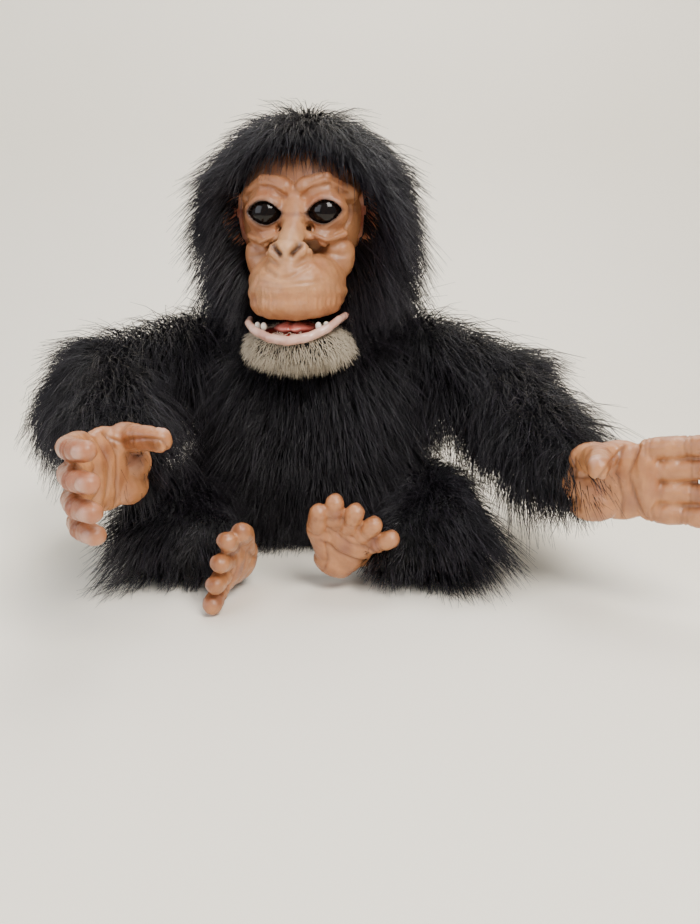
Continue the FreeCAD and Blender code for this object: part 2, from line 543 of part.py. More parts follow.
for name, side in SIDES.items():
    shoulder = V(side * mm("shoulder_out"), mm("shoulder_back"), mm("shoulder_high"))
    upper, fore = unit(UPPER_ARM[name]), unit(FOREARM[name])
    elbow = shoulder + upper * mm("upper_arm")
    wrist = elbow + fore * mm("forearm")
    hinge = upper.cross(fore)
    hinge.normalize()

    # Upper arm: a hub on the shoulder's lift pin, a bar, and a boss with two trunnions at the elbow.
    hub = Part.makeCylinder(9, 9.6, shoulder - V(side * 5, 0, 0), V(side, 0, 0))
    bar = capsule(shoulder + V(0, -8, -2), elbow, mm("bar_radius"), mm("bar_radius") - 1.2)
    boss = Part.makeCylinder(8, 8, elbow - hinge * 4, hinge)
    trunnions = Part.makeCylinder(mm("trunnion_radius"), 15, elbow - hinge * 7.5, hinge)
    pin_bore = Part.makeCylinder(mm("lift_pin") + mm("running"), 40, shoulder - V(side * 20, 0, 0), V(side, 0, 0))
    head_room = Part.makeCylinder(mm("lift_pin") + 2.4, 8, shoulder + V(side * 4.8, 0, 0), V(side, 0, 0))
    upper_frame = hub.multiFuse([bar, boss]).cut(pin_bore).cut(head_room).fuse(trunnions)
    sub_part(f"{name}_upper_arm_frame", feature(upper_frame))

    # Forearm: two ears on the trunnions, a yoke, and a tube that holds the hand's peg. Drawn with Z along the bar.
    fore_frame = frame_at(elbow, fore, hinge)
    ears = [Part.makeBox(16, 3, 12, V(-6, y, -6)) for y in (4.3, -7.3)]
    bridge = Part.makeBox(6, 14.6, 12, V(10, -7.3, -6))
    tube = Part.makeCylinder(7, mm("forearm") - 22, V(14, 0, 0), V(1, 0, 0))
    bore = Part.makeCylinder(mm("peg_radius") + mm("running"), 30, V(mm("forearm") - 24, 0, 0), V(1, 0, 0))
    ear_bore = Part.makeCylinder(mm("trunnion_radius") + mm("running"), 20, V(0, -10, 0), V(0, 1, 0))
    forearm_bar = bridge.multiFuse([*ears, tube]).cut(bore).cut(ear_bore)
    sub_part(f"{name}_forearm_frame", feature(forearm_bar), frame=fore_frame)

    # Fur sleeves, hollow round the frames. The elbow is a ball of the lower sleeve in a hollow of the upper one.
    core, ball = mm("sleeve_core"), mm("elbow_ball")
    barrel = Part.makeSphere(mm("sleeve_radius"), shoulder + upper * 30).fuse(
        [Part.makeSphere(mm("sleeve_radius"), elbow - upper * 26),
         tube_to(shoulder + upper * 30, elbow - upper * 26, mm("sleeve_radius") - 0.8)])
    closed = FreeCAD.Rotation(hinge, ELBOW_CLOSES).multVec(fore)
    for room in (Part.makeSphere(ball + 1.2, elbow), tube_to(elbow, elbow + closed * 90, ball + 2.4),
                 Part.makeSphere(core + 6, shoulder), tube_to(shoulder - upper * 10, elbow, core)):
        barrel = barrel.cut(room)
    sub_part(f"{name}_upper_arm_fur", feature(barrel))
    mouth = Part.makeCone(core, core + 6, ball + 8, elbow, -upper)
    sleeve = lower_sleeve(ball, mm("cuff_radius"), mm("forearm") - 9, core)
    sleeve.Placement = fore_frame
    sleeve = sleeve.cut(mouth)
    sub_part(f"{name}_forearm_fur", feature(sleeve))
    ring = cut(rod("10.5", "4", ("forearm - 12", "0", "0"), "X"), rod("7.1", "8", ("forearm - 14", "0", "0"), "X"))
    sub_part(f"{name}_wrist_ring", ring, frame=fore_frame)

    # Hand: its neck meets the sleeve's mouth, and its peg turns in the forearm tube.
    hand_frame = frame_at(wrist, FINGERS[name], PALM_FACES[name])
    thumb_side = 1 if hand_frame.Rotation.multVec(V(0, 0, 1)).z > 0 else -1
    hand = hand_solid(thumb_side, FINGER_CURL[name])
    hand_frame.Base = wrist + fore * 12 - hand_frame.Rotation.multVec(V(4, 0, 0))
    hand.Placement = hand_frame
    neck = tube_to(wrist - fore * 3.5, wrist + fore * 14, 10)
    peg = tube_to(wrist - fore * 20, wrist, mm("peg_radius"))
    sub_part(f"{name}_hand", feature(hand.multiFuse([neck, peg])))

# ------------------------------------------------------------------ legs and feet


def foot_solid(side):
    """A moulded foot. X runs to the toes, Y out of the sole, and the big toe is on the side's Z."""
    long, wide, thick = mm("sole_long"), mm("sole_wide"), mm("sole_thick")
    sole = Part.makeBox(long, thick, wide, V(-8, -thick / 2, -wide / 2))
    sole = sole.makeFillet(thick * 0.46, sole.Edges)
    pieces = []
    for n, length in enumerate((17, 18, 16, 13)):
        row = side * (1.5 - n)
        place = V(long - 13, 0, row * (mm("toe_pitch") - 3))
        end = place + V(length, 5, row * 5.5)
        pieces.append(capsule(place, end, mm("toe_radius"), mm("toe_radius") - 0.2))
    knuckle = V(20, 4, side * 23)
    pieces += [capsule(V(6, 0, side * 8), knuckle, 7.5, 6.4), capsule(knuckle, V(33, 8, side * 27), 6.4, 5.8)]
    return sole.multiFuse(pieces)


cup = Part.makeSphere(mm("hip_ball") + 2.6).cut(Part.makeSphere(mm("hip_ball") + mm("running")))
open_side = Part.makeBox(20, 40, 40, V(-21.5, -20, -20))
hip_socket = cup.cut(open_side).fuse(Part.makeCylinder(6, 6, V(8, 0, 0), V(1, 0, 0)))

hip_studs = []
for name, side in SIDES.items():
    hip = V(side * 64, -14, 36)
    top, knee, ankle = V(side * 86, -26, 30), V(*KNEE[name]), V(*ANKLE[name])
    shin = ankle - knee
    shin.normalize()

    stud = tube_to(hip - V(side * 7.8, 0, 0), hip, 3).fuse(Part.makeSphere(mm("hip_ball"), hip))
    hip_studs.append(feature(stud.fuse(Part.makeCylinder(11, 2, V(side * 56.1, hip.y, hip.z), V(side, 0, 0)))))
    socket = placed(hip_socket, hip, 0 if side > 0 else 180)
    sub_part(f"{name}_hip_socket", feature(socket))

    thigh = Part.makeSphere(mm("thigh_radius"), top).fuse(Part.makeSphere(mm("thigh_radius"), knee))
    thigh = thigh.fuse(tube_to(top, knee, mm("thigh_radius") - 0.8))
    calf = Part.makeCone(mm("thigh_radius") - 1, mm("shin_radius"), (ankle - knee).Length, knee, ankle - knee)
    cavity = Part.makeSphere(mm("hip_ball") + 4.5, hip).fuse(
        Part.makeCylinder(6 + mm("soft_gap"), 8, hip + V(side * 7, 0, 0), V(side, 0, 0)))
    shell_side = Part.makeBox(60, 200, 120, V(side * 58.5 - 30 - side * 30, -120, -10))
    neck_hole = tube_to(ankle - shin * 16, ankle + shin, mm("foot_neck") + mm("soft_gap"))
    floor = Part.makeBox(400, 400, 40, V(-200, -300, -38))
    leg = thigh.fuse(calf).cut(cavity).cut(shell_side).cut(neck_hole).cut(floor)
    sub_part(f"{name}_leg_fur", feature(leg))

    foot_frame = frame_at(HEEL[name], TOES[name], SOLE_FACES[name])
    inward = V(-side, 0, 0.6)
    big_toe_side = 1 if foot_frame.Rotation.multVec(V(0, 0, 1)).dot(inward) > 0 else -1
    foot = foot_solid(big_toe_side)
    foot.Placement = foot_frame
    reach = V(*HEEL[name]) - (ankle + shin * 10)
    neck = tube_to(ankle - shin * 15, ankle + shin * 10, mm("foot_neck")).fuse(
        Part.makeSphere(mm("foot_neck"), ankle + shin * 10))
    neck = neck.fuse(capsule(ankle + shin * 10, ankle + shin * 10 + reach * 0.9, mm("foot_neck"), 8))
    sub_part(f"{name}_foot", feature(foot.fuse(neck)))

sub_part("hip_studs", *hip_studs)

# ------------------------------------------------------------------ head, drawn about the nod pivot and then leaned

skull = egg("skull_half", "skull_deep", "skull_tall", ("0", "-2", "skull_mid"))
skull_hollow = egg("skull_half - wall", "skull_deep - wall", "skull_tall - wall", ("0", "-2", "skull_mid"))
behind = box("200", "200", "300", ("0", "100", "-100"))
ahead = box("200", "200", "300", ("0", "-100.1", "-100"))
base_hole = rod("22", "60", ("0", "0", "-20"))
eye_holes = [rod("eye_radius + 3", "80", (f"{s} * eye_out", "0", "eye_mid"), "-Y") for s in SIDES.values()]
mouth_hole = box("2 * muzzle_half - 10", "60", "34", ("0", "-60", "-4"))
bridge_hole = box("16", "60", "30", ("0", "-60", "eye_mid - 15"))
front_skull = cut(common(cut(skull, skull_hollow), ahead), base_hole, mouth_hole, bridge_hole, *eye_holes)
JAW_HINGE = ("-jaw_hinge_fore", "jaw_hinge_mid")
lugs = [cut(box("3", "24", "26", (f"{s} * 12.6", "-2", "-6")), rod("2 + running", "40", ("-20", "0", "0"), "X"),
            rod("1.5 + running", "40", ("-20", *JAW_HINGE), "X")) for s in SIDES.values()]
sub_part("skull_front", front_skull, frame=head)
rear_skull = cut(common(cut(skull, skull_hollow), behind), base_hole)
sub_part("skull_rear", rear_skull, frame=head)
carrier = box("40", "24", "3", ("0", "4", "20"))
sub_part("neck_carrier", fuse(carrier, *lugs), frame=head)
sub_part("head_pins", rod("2", "30", ("-15", "0", "0"), "X"),
         rod("1.5", "2 * jaw_half + 14", ("-jaw_half - 7", *JAW_HINGE), "X"), frame=head)

# Face skin: a mask of brow and muzzle, with eye holes, open at the mouth and the back.
brow = egg("skull_half + 0.3 + skin", "skull_deep + 0.3 + skin", "skull_tall + 0.3 + skin", ("0", "-2", "skull_mid"))
brow_inside = egg("skull_half + 0.3", "skull_deep + 0.3", "skull_tall + 0.3", ("0", "-2", "skull_mid"))
muzzle = egg("muzzle_half", "muzzle_deep", "muzzle_tall", ("0", "-muzzle_fore", "muzzle_mid"))
MUZZLE_AT = ("0", "-muzzle_fore", "muzzle_mid")
muzzle_inside = egg("muzzle_half - skin", "muzzle_deep - skin", "muzzle_tall - skin", MUZZLE_AT)
mask_front = box("200", "120", "102", ("0", "-84", "muzzle_mid - muzzle_tall + 5"))
muzzle_room = egg("muzzle_half + 0.05", "muzzle_deep + 0.05", "muzzle_tall + 0.05", MUZZLE_AT)
face_eyes = [rod("eye_radius + 2.2", "80", (f"{s} * eye_out", "0", "eye_mid"), "-Y") for s in SIDES.values()]
beside = egg("skull_half + skin + 0.5", "skull_deep + skin + 0.5", "skull_tall + skin + 0.5", ("0", "-2", "skull_mid"))
ears = [cut(egg("6.5", "14", "19", (f"{s} * (skull_half + 4)", "-22", "skull_mid - 8")), beside,
            egg("5", "8", "12", (f"{s} * (skull_half + 11)", "-24", "skull_mid - 8"))) for s in SIDES.values()]
brow_part = cut(common(brow, mask_front), brow_inside, muzzle_room, *face_eyes)
muzzle_part = cut(common(cut(muzzle, brow_inside), mask_front), muzzle_inside)
sub_part("face_skin", brow_part, muzzle_part, *ears, frame=head)

eyes = []
for side in SIDES.values():
    at = (f"{side} * eye_out", "-eye_fore", "eye_mid")
    ball = bind(doc.addObject("Part::Sphere", "eye"), Radius="eye_radius")
    axle_bore = rod("1.5", "eye_radius + 2", (f"{side} * (eye_out - eye_radius - 2)", "-eye_fore", "eye_mid"),
                    "X" if side > 0 else "-X")
    eyes.append(cut(move(ball, at), axle_bore))
sub_part("eyes", *eyes, frame=head)
sub_part("eyelid_axle", rod("1.5", "2 * eye_out", ("-eye_out", "-eye_fore", "eye_mid"), "X"), frame=head)

# Eyelids: two cups that turn over the eyes together, joined by a hub with a toothed sector.
lids = []
for side in SIDES.values():
    at = (f"{side} * eye_out", "-eye_fore", "eye_mid")
    outer = move(bind(doc.addObject("Part::Sphere", "lid"), Radius="eye_radius + lid_gap + lid_thick"), at)
    inner = move(bind(doc.addObject("Part::Sphere", "lid"), Radius="eye_radius + lid_gap"), at)
    keep = box("40", "40", "40", (f"{side} * eye_out", "20 - eye_fore - 5", "eye_mid + 1"))
    lids.append(common(cut(outer, inner), keep))
hub = cut(rod("3.4", "2 * (eye_out - eye_radius) - 1", ("-(eye_out - eye_radius) + 0.5", "-eye_fore", "eye_mid"), "X"),
          rod("1.5 + running", "40", ("-20", "-eye_fore", "eye_mid"), "X"))


def upright_gear(solid, x, y, z, turn):
    """A gear drawn about Z, stood up so that it turns about X, with its tooth zero at turn degrees above +Y."""
    stood = placed(solid, (0, 0, 0), 120, (1, 1, 1))  # carries Z to X, X to Y, and Y to Z
    made = stood.copy()
    made.Placement = FreeCAD.Placement(V(x, y, z), FreeCAD.Rotation(V(1, 0, 0), turn)).multiply(stood.Placement)
    return made


sector_teeth, drive_teeth = int(mm("head_sector_teeth")), int(mm("head_pinion_teeth"))
head_away = mm("head_module") * (sector_teeth + drive_teeth) / 2
lid_sector = gear(mm("head_module"), sector_teeth, 3, -1.5, 1.5 + mm("running"), -9, 11, hub=3.4)
lid_y, lid_z = -mm("eye_fore"), mm("eye_mid")
lid_body = fuse(*lids, hub, feature(upright_gear(lid_sector, 0, lid_y, lid_z, 0)))
sub_part("eyelids", cut(lid_body, rod("1.5 + running", "80", ("-40", "-eye_fore", "eye_mid"), "X")), frame=head)
drive_pinion = gear(mm("head_module"), drive_teeth, 3, -1.5, 1 + mm("running"))
MESHED = 180 + 180 / drive_teeth  # turns a pinion so that one of its gaps faces the sector
blink_pinion = upright_gear(drive_pinion, 0, lid_y + head_away, lid_z, MESHED)
sub_part("blink_pinion", feature(blink_pinion), frame=head)
blink_case = placed(gear_motor((12, 18, 16), 1, 5.6), (0, 0, 0), 180, (1, 0, 0))
sub_part("blink_gear_motor", feature(upright_gear(blink_case, 2.4, lid_y + head_away, lid_z, 0)), frame=head)

# Jaw: a rubber lip and chin dish on a frame that hinges behind the cheeks, with a toothed sector on its right arm.
dish = cut(egg("jaw_half", "jaw_deep", "jaw_tall", ("0", "-jaw_fore", "-jaw_low")),
           egg("jaw_half - skin", "jaw_deep - skin", "jaw_tall - skin", ("0", "-jaw_fore", "-jaw_low")),
           box("100", "120", "30", ("0", "-60", "-jaw_low")), box("100", "60", "60", ("0", "-2", "-50")))
sub_part("jaw_lip", dish, frame=head)

arms = [fuse(box("3", "12", "24", (f"{s} * (jaw_half + 3)", "-jaw_hinge_fore - 12", "-19")),
             rod("6", "3", (f"{s} * (jaw_half + 3) - 1.5", *JAW_HINGE), "X"),
             box("3", "9", "12", (f"{s} * (jaw_half + 3)", "-jaw_hinge_fore - 4", "-6"))) for s in SIDES.values()]
jaw_cross = box("2 * jaw_half + 6", "9", "3", ("0", "-jaw_hinge_fore - 14", "-19"))
jaw_floor = box("jaw_half", "34", "2", ("0", "-jaw_hinge_fore - 27", "-19.5"))
JAW_GEAR_X = -17.5
jaw_y, jaw_z = -mm("jaw_hinge_fore"), mm("jaw_hinge_mid")
jaw_sector = gear(mm("head_module"), sector_teeth, 3, -1.5, 0, 0, 13)
jaw_tube = rod("6", f"jaw_half + 3 + {JAW_GEAR_X}", ("-jaw_half - 3", *JAW_HINGE), "X")
jaw_body = fuse(*arms, jaw_cross, jaw_floor, jaw_tube,
                feature(upright_gear(jaw_sector, JAW_GEAR_X, jaw_y, jaw_z, -54)))
sub_part("jaw_frame", cut(jaw_body, rod("1.5 + running", "100", ("-50", *JAW_HINGE), "X")), frame=head)
jaw_pinion = upright_gear(drive_pinion, JAW_GEAR_X, jaw_y + head_away, jaw_z, MESHED)
sub_part("jaw_pinion", feature(jaw_pinion), frame=head)
jaw_case = gear_motor((18, 12, 15), 1, 5.6)
jaw_motor = upright_gear(jaw_case, JAW_GEAR_X - 2.4, jaw_y + head_away, jaw_z, 0)
sub_part("jaw_gear_motor", feature(jaw_motor), frame=head)
tongue = egg("13", "26", "6", ("0", "-jaw_fore - 4", "-jaw_low - 2"))
gum = cut(egg("jaw_half - skin - 0.4", "jaw_deep - skin - 0.4", "9", ("0", "-jaw_fore", "-jaw_low")),
          egg("jaw_half - skin - 7", "jaw_deep - skin - 7", "20", ("0", "-jaw_fore", "-jaw_low")),
          box("100", "120", "30", ("0", "-60", "-jaw_low - 0.5")), box("100", "60", "60", ("0", "-12", "-50")))
JAW_AT = ("0", "-jaw_fore", "-jaw_low")
dish_space = egg("jaw_half - skin - 0.4", "jaw_deep - skin - 0.4", "jaw_tall - skin - 0.4", JAW_AT)
sub_part("tongue_and_gum", common(gum, dish_space),
         cut(common(tongue, dish_space), egg("jaw_half", "jaw_deep", "jaw_tall", ("0", "-jaw_fore", "60")),
             box("jaw_half + 1", "40", "3", ("0", "-jaw_hinge_fore - 27", "-20"))), frame=head)
beard = cut(egg("jaw_half + 3", "jaw_deep", "13", ("0", "-jaw_fore + 8", "-jaw_low - 6")),
            egg("jaw_half + 0.4", "jaw_deep + 0.4", "jaw_tall + 0.4", ("0", "-jaw_fore", "-jaw_low")),
            box("100", "160", "60", ("0", "-60", "-jaw_low - 3.6")), box("100", "60", "60", ("0", "-30", "-60")))
sub_part("chin_fur", beard, frame=head)

hood = cut(egg("hood_half", "hood_deep", "hood_tall", ("0", "4", "hood_mid")),
           egg("skull_half + skin + 0.8", "skull_deep + skin + 0.8", "skull_tall + skin + 0.8", ("0", "-2", "skull_mid")),
           box("84", "120", "112", ("0", "-78", "-16")), box("200", "200", "60", ("0", "0", "-62")),
           rod("44", "62", ("0", "0", "-50")),
           *[egg("40", "20", "26", (f"{s} * (skull_half + 24)", "-22", "skull_mid - 8")) for s in SIDES.values()])
sub_part("head_fur", hood, frame=head)

doc.recompute()
bad = [o.Label for o in doc.Objects if "Invalid" in o.State or "Error" in o.State]
assert not bad, f"failed objects: {bad}"
os.makedirs("parts", exist_ok=True)
for old in os.listdir("parts"):
    os.remove(os.path.join("parts", old))
for part in parts:
    shape = part.Shape
    assert not shape.isNull() and shape.isValid() and shape.Solids, f"{part.Label} is not a valid solid"
    shape.exportStep(f"parts/{part.Label}.step")
print(len(parts), "sub-parts")
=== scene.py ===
"""A sitting baby chimpanzee toy: long black fur and a soft vinyl face, hands and feet, round its CAD frame.

Sizes in this file are in millimetres and are turned into metres when a mesh is made. The row frame is the CAD
one: +Z up, the toy looks towards -Y, its own left is at +X, and the origin is under the middle of the seat.
"""

import json
import math
from collections import namedtuple

import bmesh
import bpy
import numpy as np
from mathutils import Matrix, Vector
from mathutils.bvhtree import BVHTree


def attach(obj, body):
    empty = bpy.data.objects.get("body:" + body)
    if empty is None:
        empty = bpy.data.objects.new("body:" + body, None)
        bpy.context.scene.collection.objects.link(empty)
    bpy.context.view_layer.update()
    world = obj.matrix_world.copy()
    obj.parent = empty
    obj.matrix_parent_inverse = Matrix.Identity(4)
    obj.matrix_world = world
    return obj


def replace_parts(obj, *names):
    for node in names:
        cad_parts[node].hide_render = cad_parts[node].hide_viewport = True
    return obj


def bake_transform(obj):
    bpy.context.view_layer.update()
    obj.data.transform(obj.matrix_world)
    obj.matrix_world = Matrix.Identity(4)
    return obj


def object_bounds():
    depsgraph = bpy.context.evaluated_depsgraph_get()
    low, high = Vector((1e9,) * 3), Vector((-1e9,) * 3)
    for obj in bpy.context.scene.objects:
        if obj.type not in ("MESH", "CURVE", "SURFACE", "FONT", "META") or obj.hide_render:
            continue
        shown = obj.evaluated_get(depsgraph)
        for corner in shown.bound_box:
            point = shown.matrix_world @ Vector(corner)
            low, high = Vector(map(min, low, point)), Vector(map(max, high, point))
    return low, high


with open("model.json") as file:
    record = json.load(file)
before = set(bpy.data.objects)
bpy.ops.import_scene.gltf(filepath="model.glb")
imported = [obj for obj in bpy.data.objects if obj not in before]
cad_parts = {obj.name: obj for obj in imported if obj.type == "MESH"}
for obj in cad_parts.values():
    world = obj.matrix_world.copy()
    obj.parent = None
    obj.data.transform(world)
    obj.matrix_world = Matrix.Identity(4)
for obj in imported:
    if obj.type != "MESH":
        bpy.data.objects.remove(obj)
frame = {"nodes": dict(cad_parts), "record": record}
size_after_load = [list(corner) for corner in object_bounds()]

# ---- Camera
# A short telephoto view from a little above the toy's head, slightly to its left.
MM = 0.001
camera_data = bpy.data.cameras.new("camera")
camera_data.lens, camera_data.sensor_width = 29.2, 36
camera = bpy.data.objects.new("camera", camera_data)
camera.location = (0.030, -0.571, 0.218)
camera.rotation_euler = (math.radians(74), 0, 0)
bpy.context.scene.collection.objects.link(camera)
bpy.context.scene.camera = camera

# ---- Where the joints are
# Limb points and axes come from the record, so that every piece sits on the joint it turns about.
joints = {joint["name"]: joint for joint in frame["record"]["behaviour"]["joints"]}


def unit(v):
    v = np.asarray(v, float)
    return v / np.linalg.norm(v)


def joint_at(name):
    return np.array(joints[name]["pos_m"], float) / MM


def joint_axis(name):
    return unit(joints[name]["axis"])


nod = joint_axis("head_nod")
HEAD = (Matrix.Translation(joint_at("head_nod")) @ Matrix.Rotation(math.atan2(nod[1], nod[0]), 4, "Z")
        @ Matrix.Rotation(math.asin(-nod[2]), 4, "Y"))
SIDES = {"right": -1, "left": 1}


def axes(origin, x_axis, towards_y):
    """The matrix of a frame with this origin and X axis, and its Y axis near another direction."""
    x = unit(x_axis)
    z = unit(np.cross(x, towards_y))
    made = Matrix.Identity(4)
    for column, axis in enumerate((x, np.cross(z, x), z, origin)):
        made.col[column][:3] = axis
    return made


# ---- Modelling helpers
# Organic shapes are balls and tapered bars melted into one closed skin, then shaped vertex by vertex.
Skin = namedtuple("Skin", "points faces normals")


def ball(centre, radii, turn=None):
    shape = Matrix.Diagonal((*(radii if np.ndim(radii) else (radii,) * 3), 1))
    return [("ball", Matrix.Translation(centre) @ (turn or Matrix.Identity(4)) @ shape)]


def bar(start, end, first, last):
    """A ball at each end and a cone between them."""
    start, end = Vector(start), Vector(end)
    lean = (end - start).to_track_quat("Z", "Y").to_matrix().to_4x4()
    middle = Matrix.Translation((start + end) / 2) @ lean
    return ball(start, first) + ball(end, last) + [("cone", middle, first, last, (end - start).length)]


def chain(points, radii):
    """Bars from each point to the next."""
    return [piece for n in range(len(points) - 1)
            for piece in bar(points[n], points[n + 1], radii[n], radii[n + 1])]


def linked(name, mesh):
    made = bpy.data.objects.new(name, mesh)
    bpy.context.scene.collection.objects.link(made)
    return made


def bake(obj):
    """Replaces an object's mesh by what its modifiers make of it."""
    mesh = bpy.data.meshes.new_from_object(obj.evaluated_get(bpy.context.evaluated_depsgraph_get()))
    obj.modifiers.clear()
    obj.data = mesh
    return obj


def melt(name, pieces, voxel=2.0, rounds=6):
    """One closed skin from overlapping pieces, in millimetres. Returns its points, faces and normals."""
    bm = bmesh.new()
    for piece in pieces:
        if piece[0] == "ball":
            bmesh.ops.create_icosphere(bm, subdivisions=4, radius=1, matrix=piece[1])
        else:
            bmesh.ops.create_cone(bm, cap_ends=True, segments=40, radius1=piece[2], radius2=piece[3],
                                  depth=piece[4], matrix=piece[1])
    mesh = bpy.data.meshes.new(name)
    bm.to_mesh(mesh)
    bm.free()
    obj = linked(name, mesh)
    remesh = obj.modifiers.new("melt", "REMESH")
    remesh.mode, remesh.voxel_size = "VOXEL", voxel
    smooth = obj.modifiers.new("smooth", "SMOOTH")
    smooth.factor, smooth.iterations = 0.5, rounds
    bake(obj)
    skin = read(obj.data)
    bpy.data.objects.remove(obj)
    return skin


def read(mesh):
    points = np.empty(len(mesh.vertices) * 3)
    mesh.vertices.foreach_get("co", points)
    normals = np.empty(len(mesh.vertices) * 3)
    mesh.vertices.foreach_get("normal", normals)
    faces = np.array([tuple(p.vertices) for p in mesh.polygons if len(p.vertices) == 4])
    return Skin(points.reshape(-1, 3), faces, normals.reshape(-1, 3))


def written(name, skin, matrix=Matrix.Identity(4), material=None, **attributes):
    """A shown object from a skin, carried by a matrix out of the frame that it was shaped in."""
    turn, shift = np.array(matrix.to_3x3()), np.array(matrix.translation)
    mesh = bpy.data.meshes.new(name)
    mesh.from_pydata((skin.points @ turn.T + shift) * MM, [], skin.faces.tolist())
    for key, values in attributes.items():
        kind = "FLOAT" if values.ndim == 1 else "FLOAT_VECTOR" if values.shape[1] == 3 else "FLOAT_COLOR"
        field = {"FLOAT": "value", "FLOAT_VECTOR": "vector", "FLOAT_COLOR": "color"}[kind]
        values = values @ turn.T if key == "comb" else values
        mesh.attributes.new(key, kind, "POINT").data.foreach_set(field, np.ravel(values).astype(np.float32))
    mesh.polygons.foreach_set("use_smooth", [True] * len(mesh.polygons))
    if material:
        mesh.materials.append(material)
    return linked(name, mesh)


def kept(skin, test):
    """The part of a skin whose faces' centres pass a test."""
    faces = skin.faces[test(skin.points[skin.faces].mean(axis=1))]
    used, index = np.unique(faces, return_inverse=True)
    return Skin(skin.points[used], index.reshape(-1, 4), skin.normals[used])


def renormalled(skin):
    """The skin with normals measured again after its points have moved."""
    a, b, c, d = (skin.points[skin.faces[:, n]] for n in range(4))
    across = np.cross(c - a, d - b)
    normals = np.zeros_like(skin.points)
    for n in range(4):
        np.add.at(normals, skin.faces[:, n], across)
    return Skin(skin.points, skin.faces, normals / (np.linalg.norm(normals, axis=1, keepdims=True) + 1e-9))


def away(points, line):
    """The distance from each point to a line through several places, in as many axes as they have."""
    line = np.asarray(line, float)
    best = np.full(len(points), 1e9)
    for start, end in zip(line[:-1], line[1:]):
        run = end - start
        t = np.clip((points - start) @ run / (run @ run), 0, 1)
        best = np.minimum(best, np.linalg.norm(points - start - t[:, None] * run, axis=1))
    return best


def dent(skin, amount):
    """Pushes each point inwards by so many millimetres."""
    return renormalled(Skin(skin.points - skin.normals * amount[:, None], skin.faces, skin.normals))


def soft_step(x, start, end):
    t = np.clip((x - start) / (end - start), 0, 1)
    return t * t * (3 - 2 * t)


def waves(points, size, seed):
    """Smooth noise from -1 to 1: a few crossed waves about this long, the same in every run."""
    rng = np.random.default_rng(seed)
    total = np.zeros(len(points))
    for _ in range(6):
        way = unit(rng.normal(size=3))
        length = size * rng.uniform(0.7, 1.4)
        total += np.sin(points @ way * 2 * math.pi / length + rng.uniform(0, 6.3))
    return total / 3


# ---- Materials
# Each finish is procedural: object-space noise varies its colour, its roughness and its bump.
def colour(code):
    """A colour written as sRGB hex, in the linear values that shaders take."""
    parts = [int(code[n:n + 2], 16) / 255 for n in (0, 2, 4)]
    return (*[p / 12.92 if p <= 0.04045 else ((p + 0.055) / 1.055) ** 2.4 for p in parts], 1)


def add(tree, kind, inputs=(), **settings):
    """Adds a node, sets its properties, and sets or links its inputs."""
    node = tree.nodes.new(kind)
    for key, value in settings.items():
        setattr(node, key, value)
    for key, value in dict(inputs).items():
        if isinstance(value, bpy.types.NodeSocket):
            tree.links.new(value, node.inputs[key])
        else:
            node.inputs[key].default_value = value
    return node


def mixed(tree, factor, first, second, mode="MIX"):
    """The colour between two colours or colour outputs."""
    node = add(tree, "ShaderNodeMix", {0: factor, 6: first, 7: second}, data_type="RGBA", blend_type=mode)
    return node.outputs[2]


def ranged(tree, value, low, high, start=0.3, end=0.7):
    return add(tree, "ShaderNodeMapRange", {0: value, 1: start, 2: end, 3: low, 4: high}).outputs[0]


def started(name):
    material = bpy.data.materials.new(name)
    material.use_nodes = True
    tree = material.node_tree
    tree.nodes.clear()
    place = add(tree, "ShaderNodeTexCoord").outputs["Object"]
    return material, tree, place


def noise(tree, place, scale, detail=4):
    return add(tree, "ShaderNodeTexNoise", {"Vector": place, "Scale": scale, "Detail": detail}).outputs["Fac"]


def ended(tree, surface):
    add(tree, "ShaderNodeOutputMaterial", {"Surface": surface.outputs[0]})


def finish(name, dark, light, scale=60, rough=(0.4, 0.6), metallic=0.0, bump=0.1, grain=900, coat=0.0):
    """A plain moulded, plated or woven surface, mottled between two colours."""
    material, tree, place = started(name)
    cloud, fine = noise(tree, place, scale), noise(tree, place, grain)
    relief = add(tree, "ShaderNodeBump", {"Strength": bump, "Distance": 0.0003, "Height": fine})
    surface = add(tree, "ShaderNodeBsdfPrincipled", {
        "Base Color": mixed(tree, cloud, colour(dark), colour(light)), "Metallic": metallic,
        "Coat Weight": coat, "Roughness": ranged(tree, fine, *rough), "Normal": relief.outputs[0]})
    ended(tree, surface)
    return material


CAD_FINISHES = {
    "case_plastic": finish("textured black ABS", "17171a", "232327", rough=(0.45, 0.65), bump=0.25),
    "frame_plastic": finish("cream moulded ABS", "cdc8ba", "dcd8cc", rough=(0.35, 0.5)),
    "gear_plastic": finish("white acetal", "dddad0", "eae8e0", rough=(0.22, 0.35), bump=0.05),
    "motor_metal": finish("satin steel can", "8d8f94", "a9abb0", rough=(0.28, 0.42), metallic=1.0),
    "pin_steel": finish("nickel-plated steel", "b4b6ba", "c9cbcf", rough=(0.12, 0.22), metallic=1.0,
                        bump=0.03),
    "cell_wrap": finish("plain black shrink sleeve", "1c1e22", "2a2d33", rough=(0.2, 0.35), coat=0.4),
    "black_plastic": finish("black nylon", "0c0c0e", "17171a", rough=(0.4, 0.6)),
    "circuit_green": finish("green solder mask", "0e4a28", "176339", scale=250, rough=(0.25, 0.4), coat=0.3),
    "seat_fabric": finish("black woven backing cloth", "101014", "1f1e24", scale=400, rough=(0.8, 0.95),
                          bump=0.6),
    "eyelid_vinyl": finish("dark vinyl eyelid", "4a3530", "6b4d42", scale=120, rough=(0.4, 0.55), bump=0.3),
}

# Undercoat: the dark backing cloth that shows between hairs.
undercoat = finish("dark pile backing", "030304", "080709", scale=200, rough=(0.85, 0.98), bump=0.8,
                   grain=600)


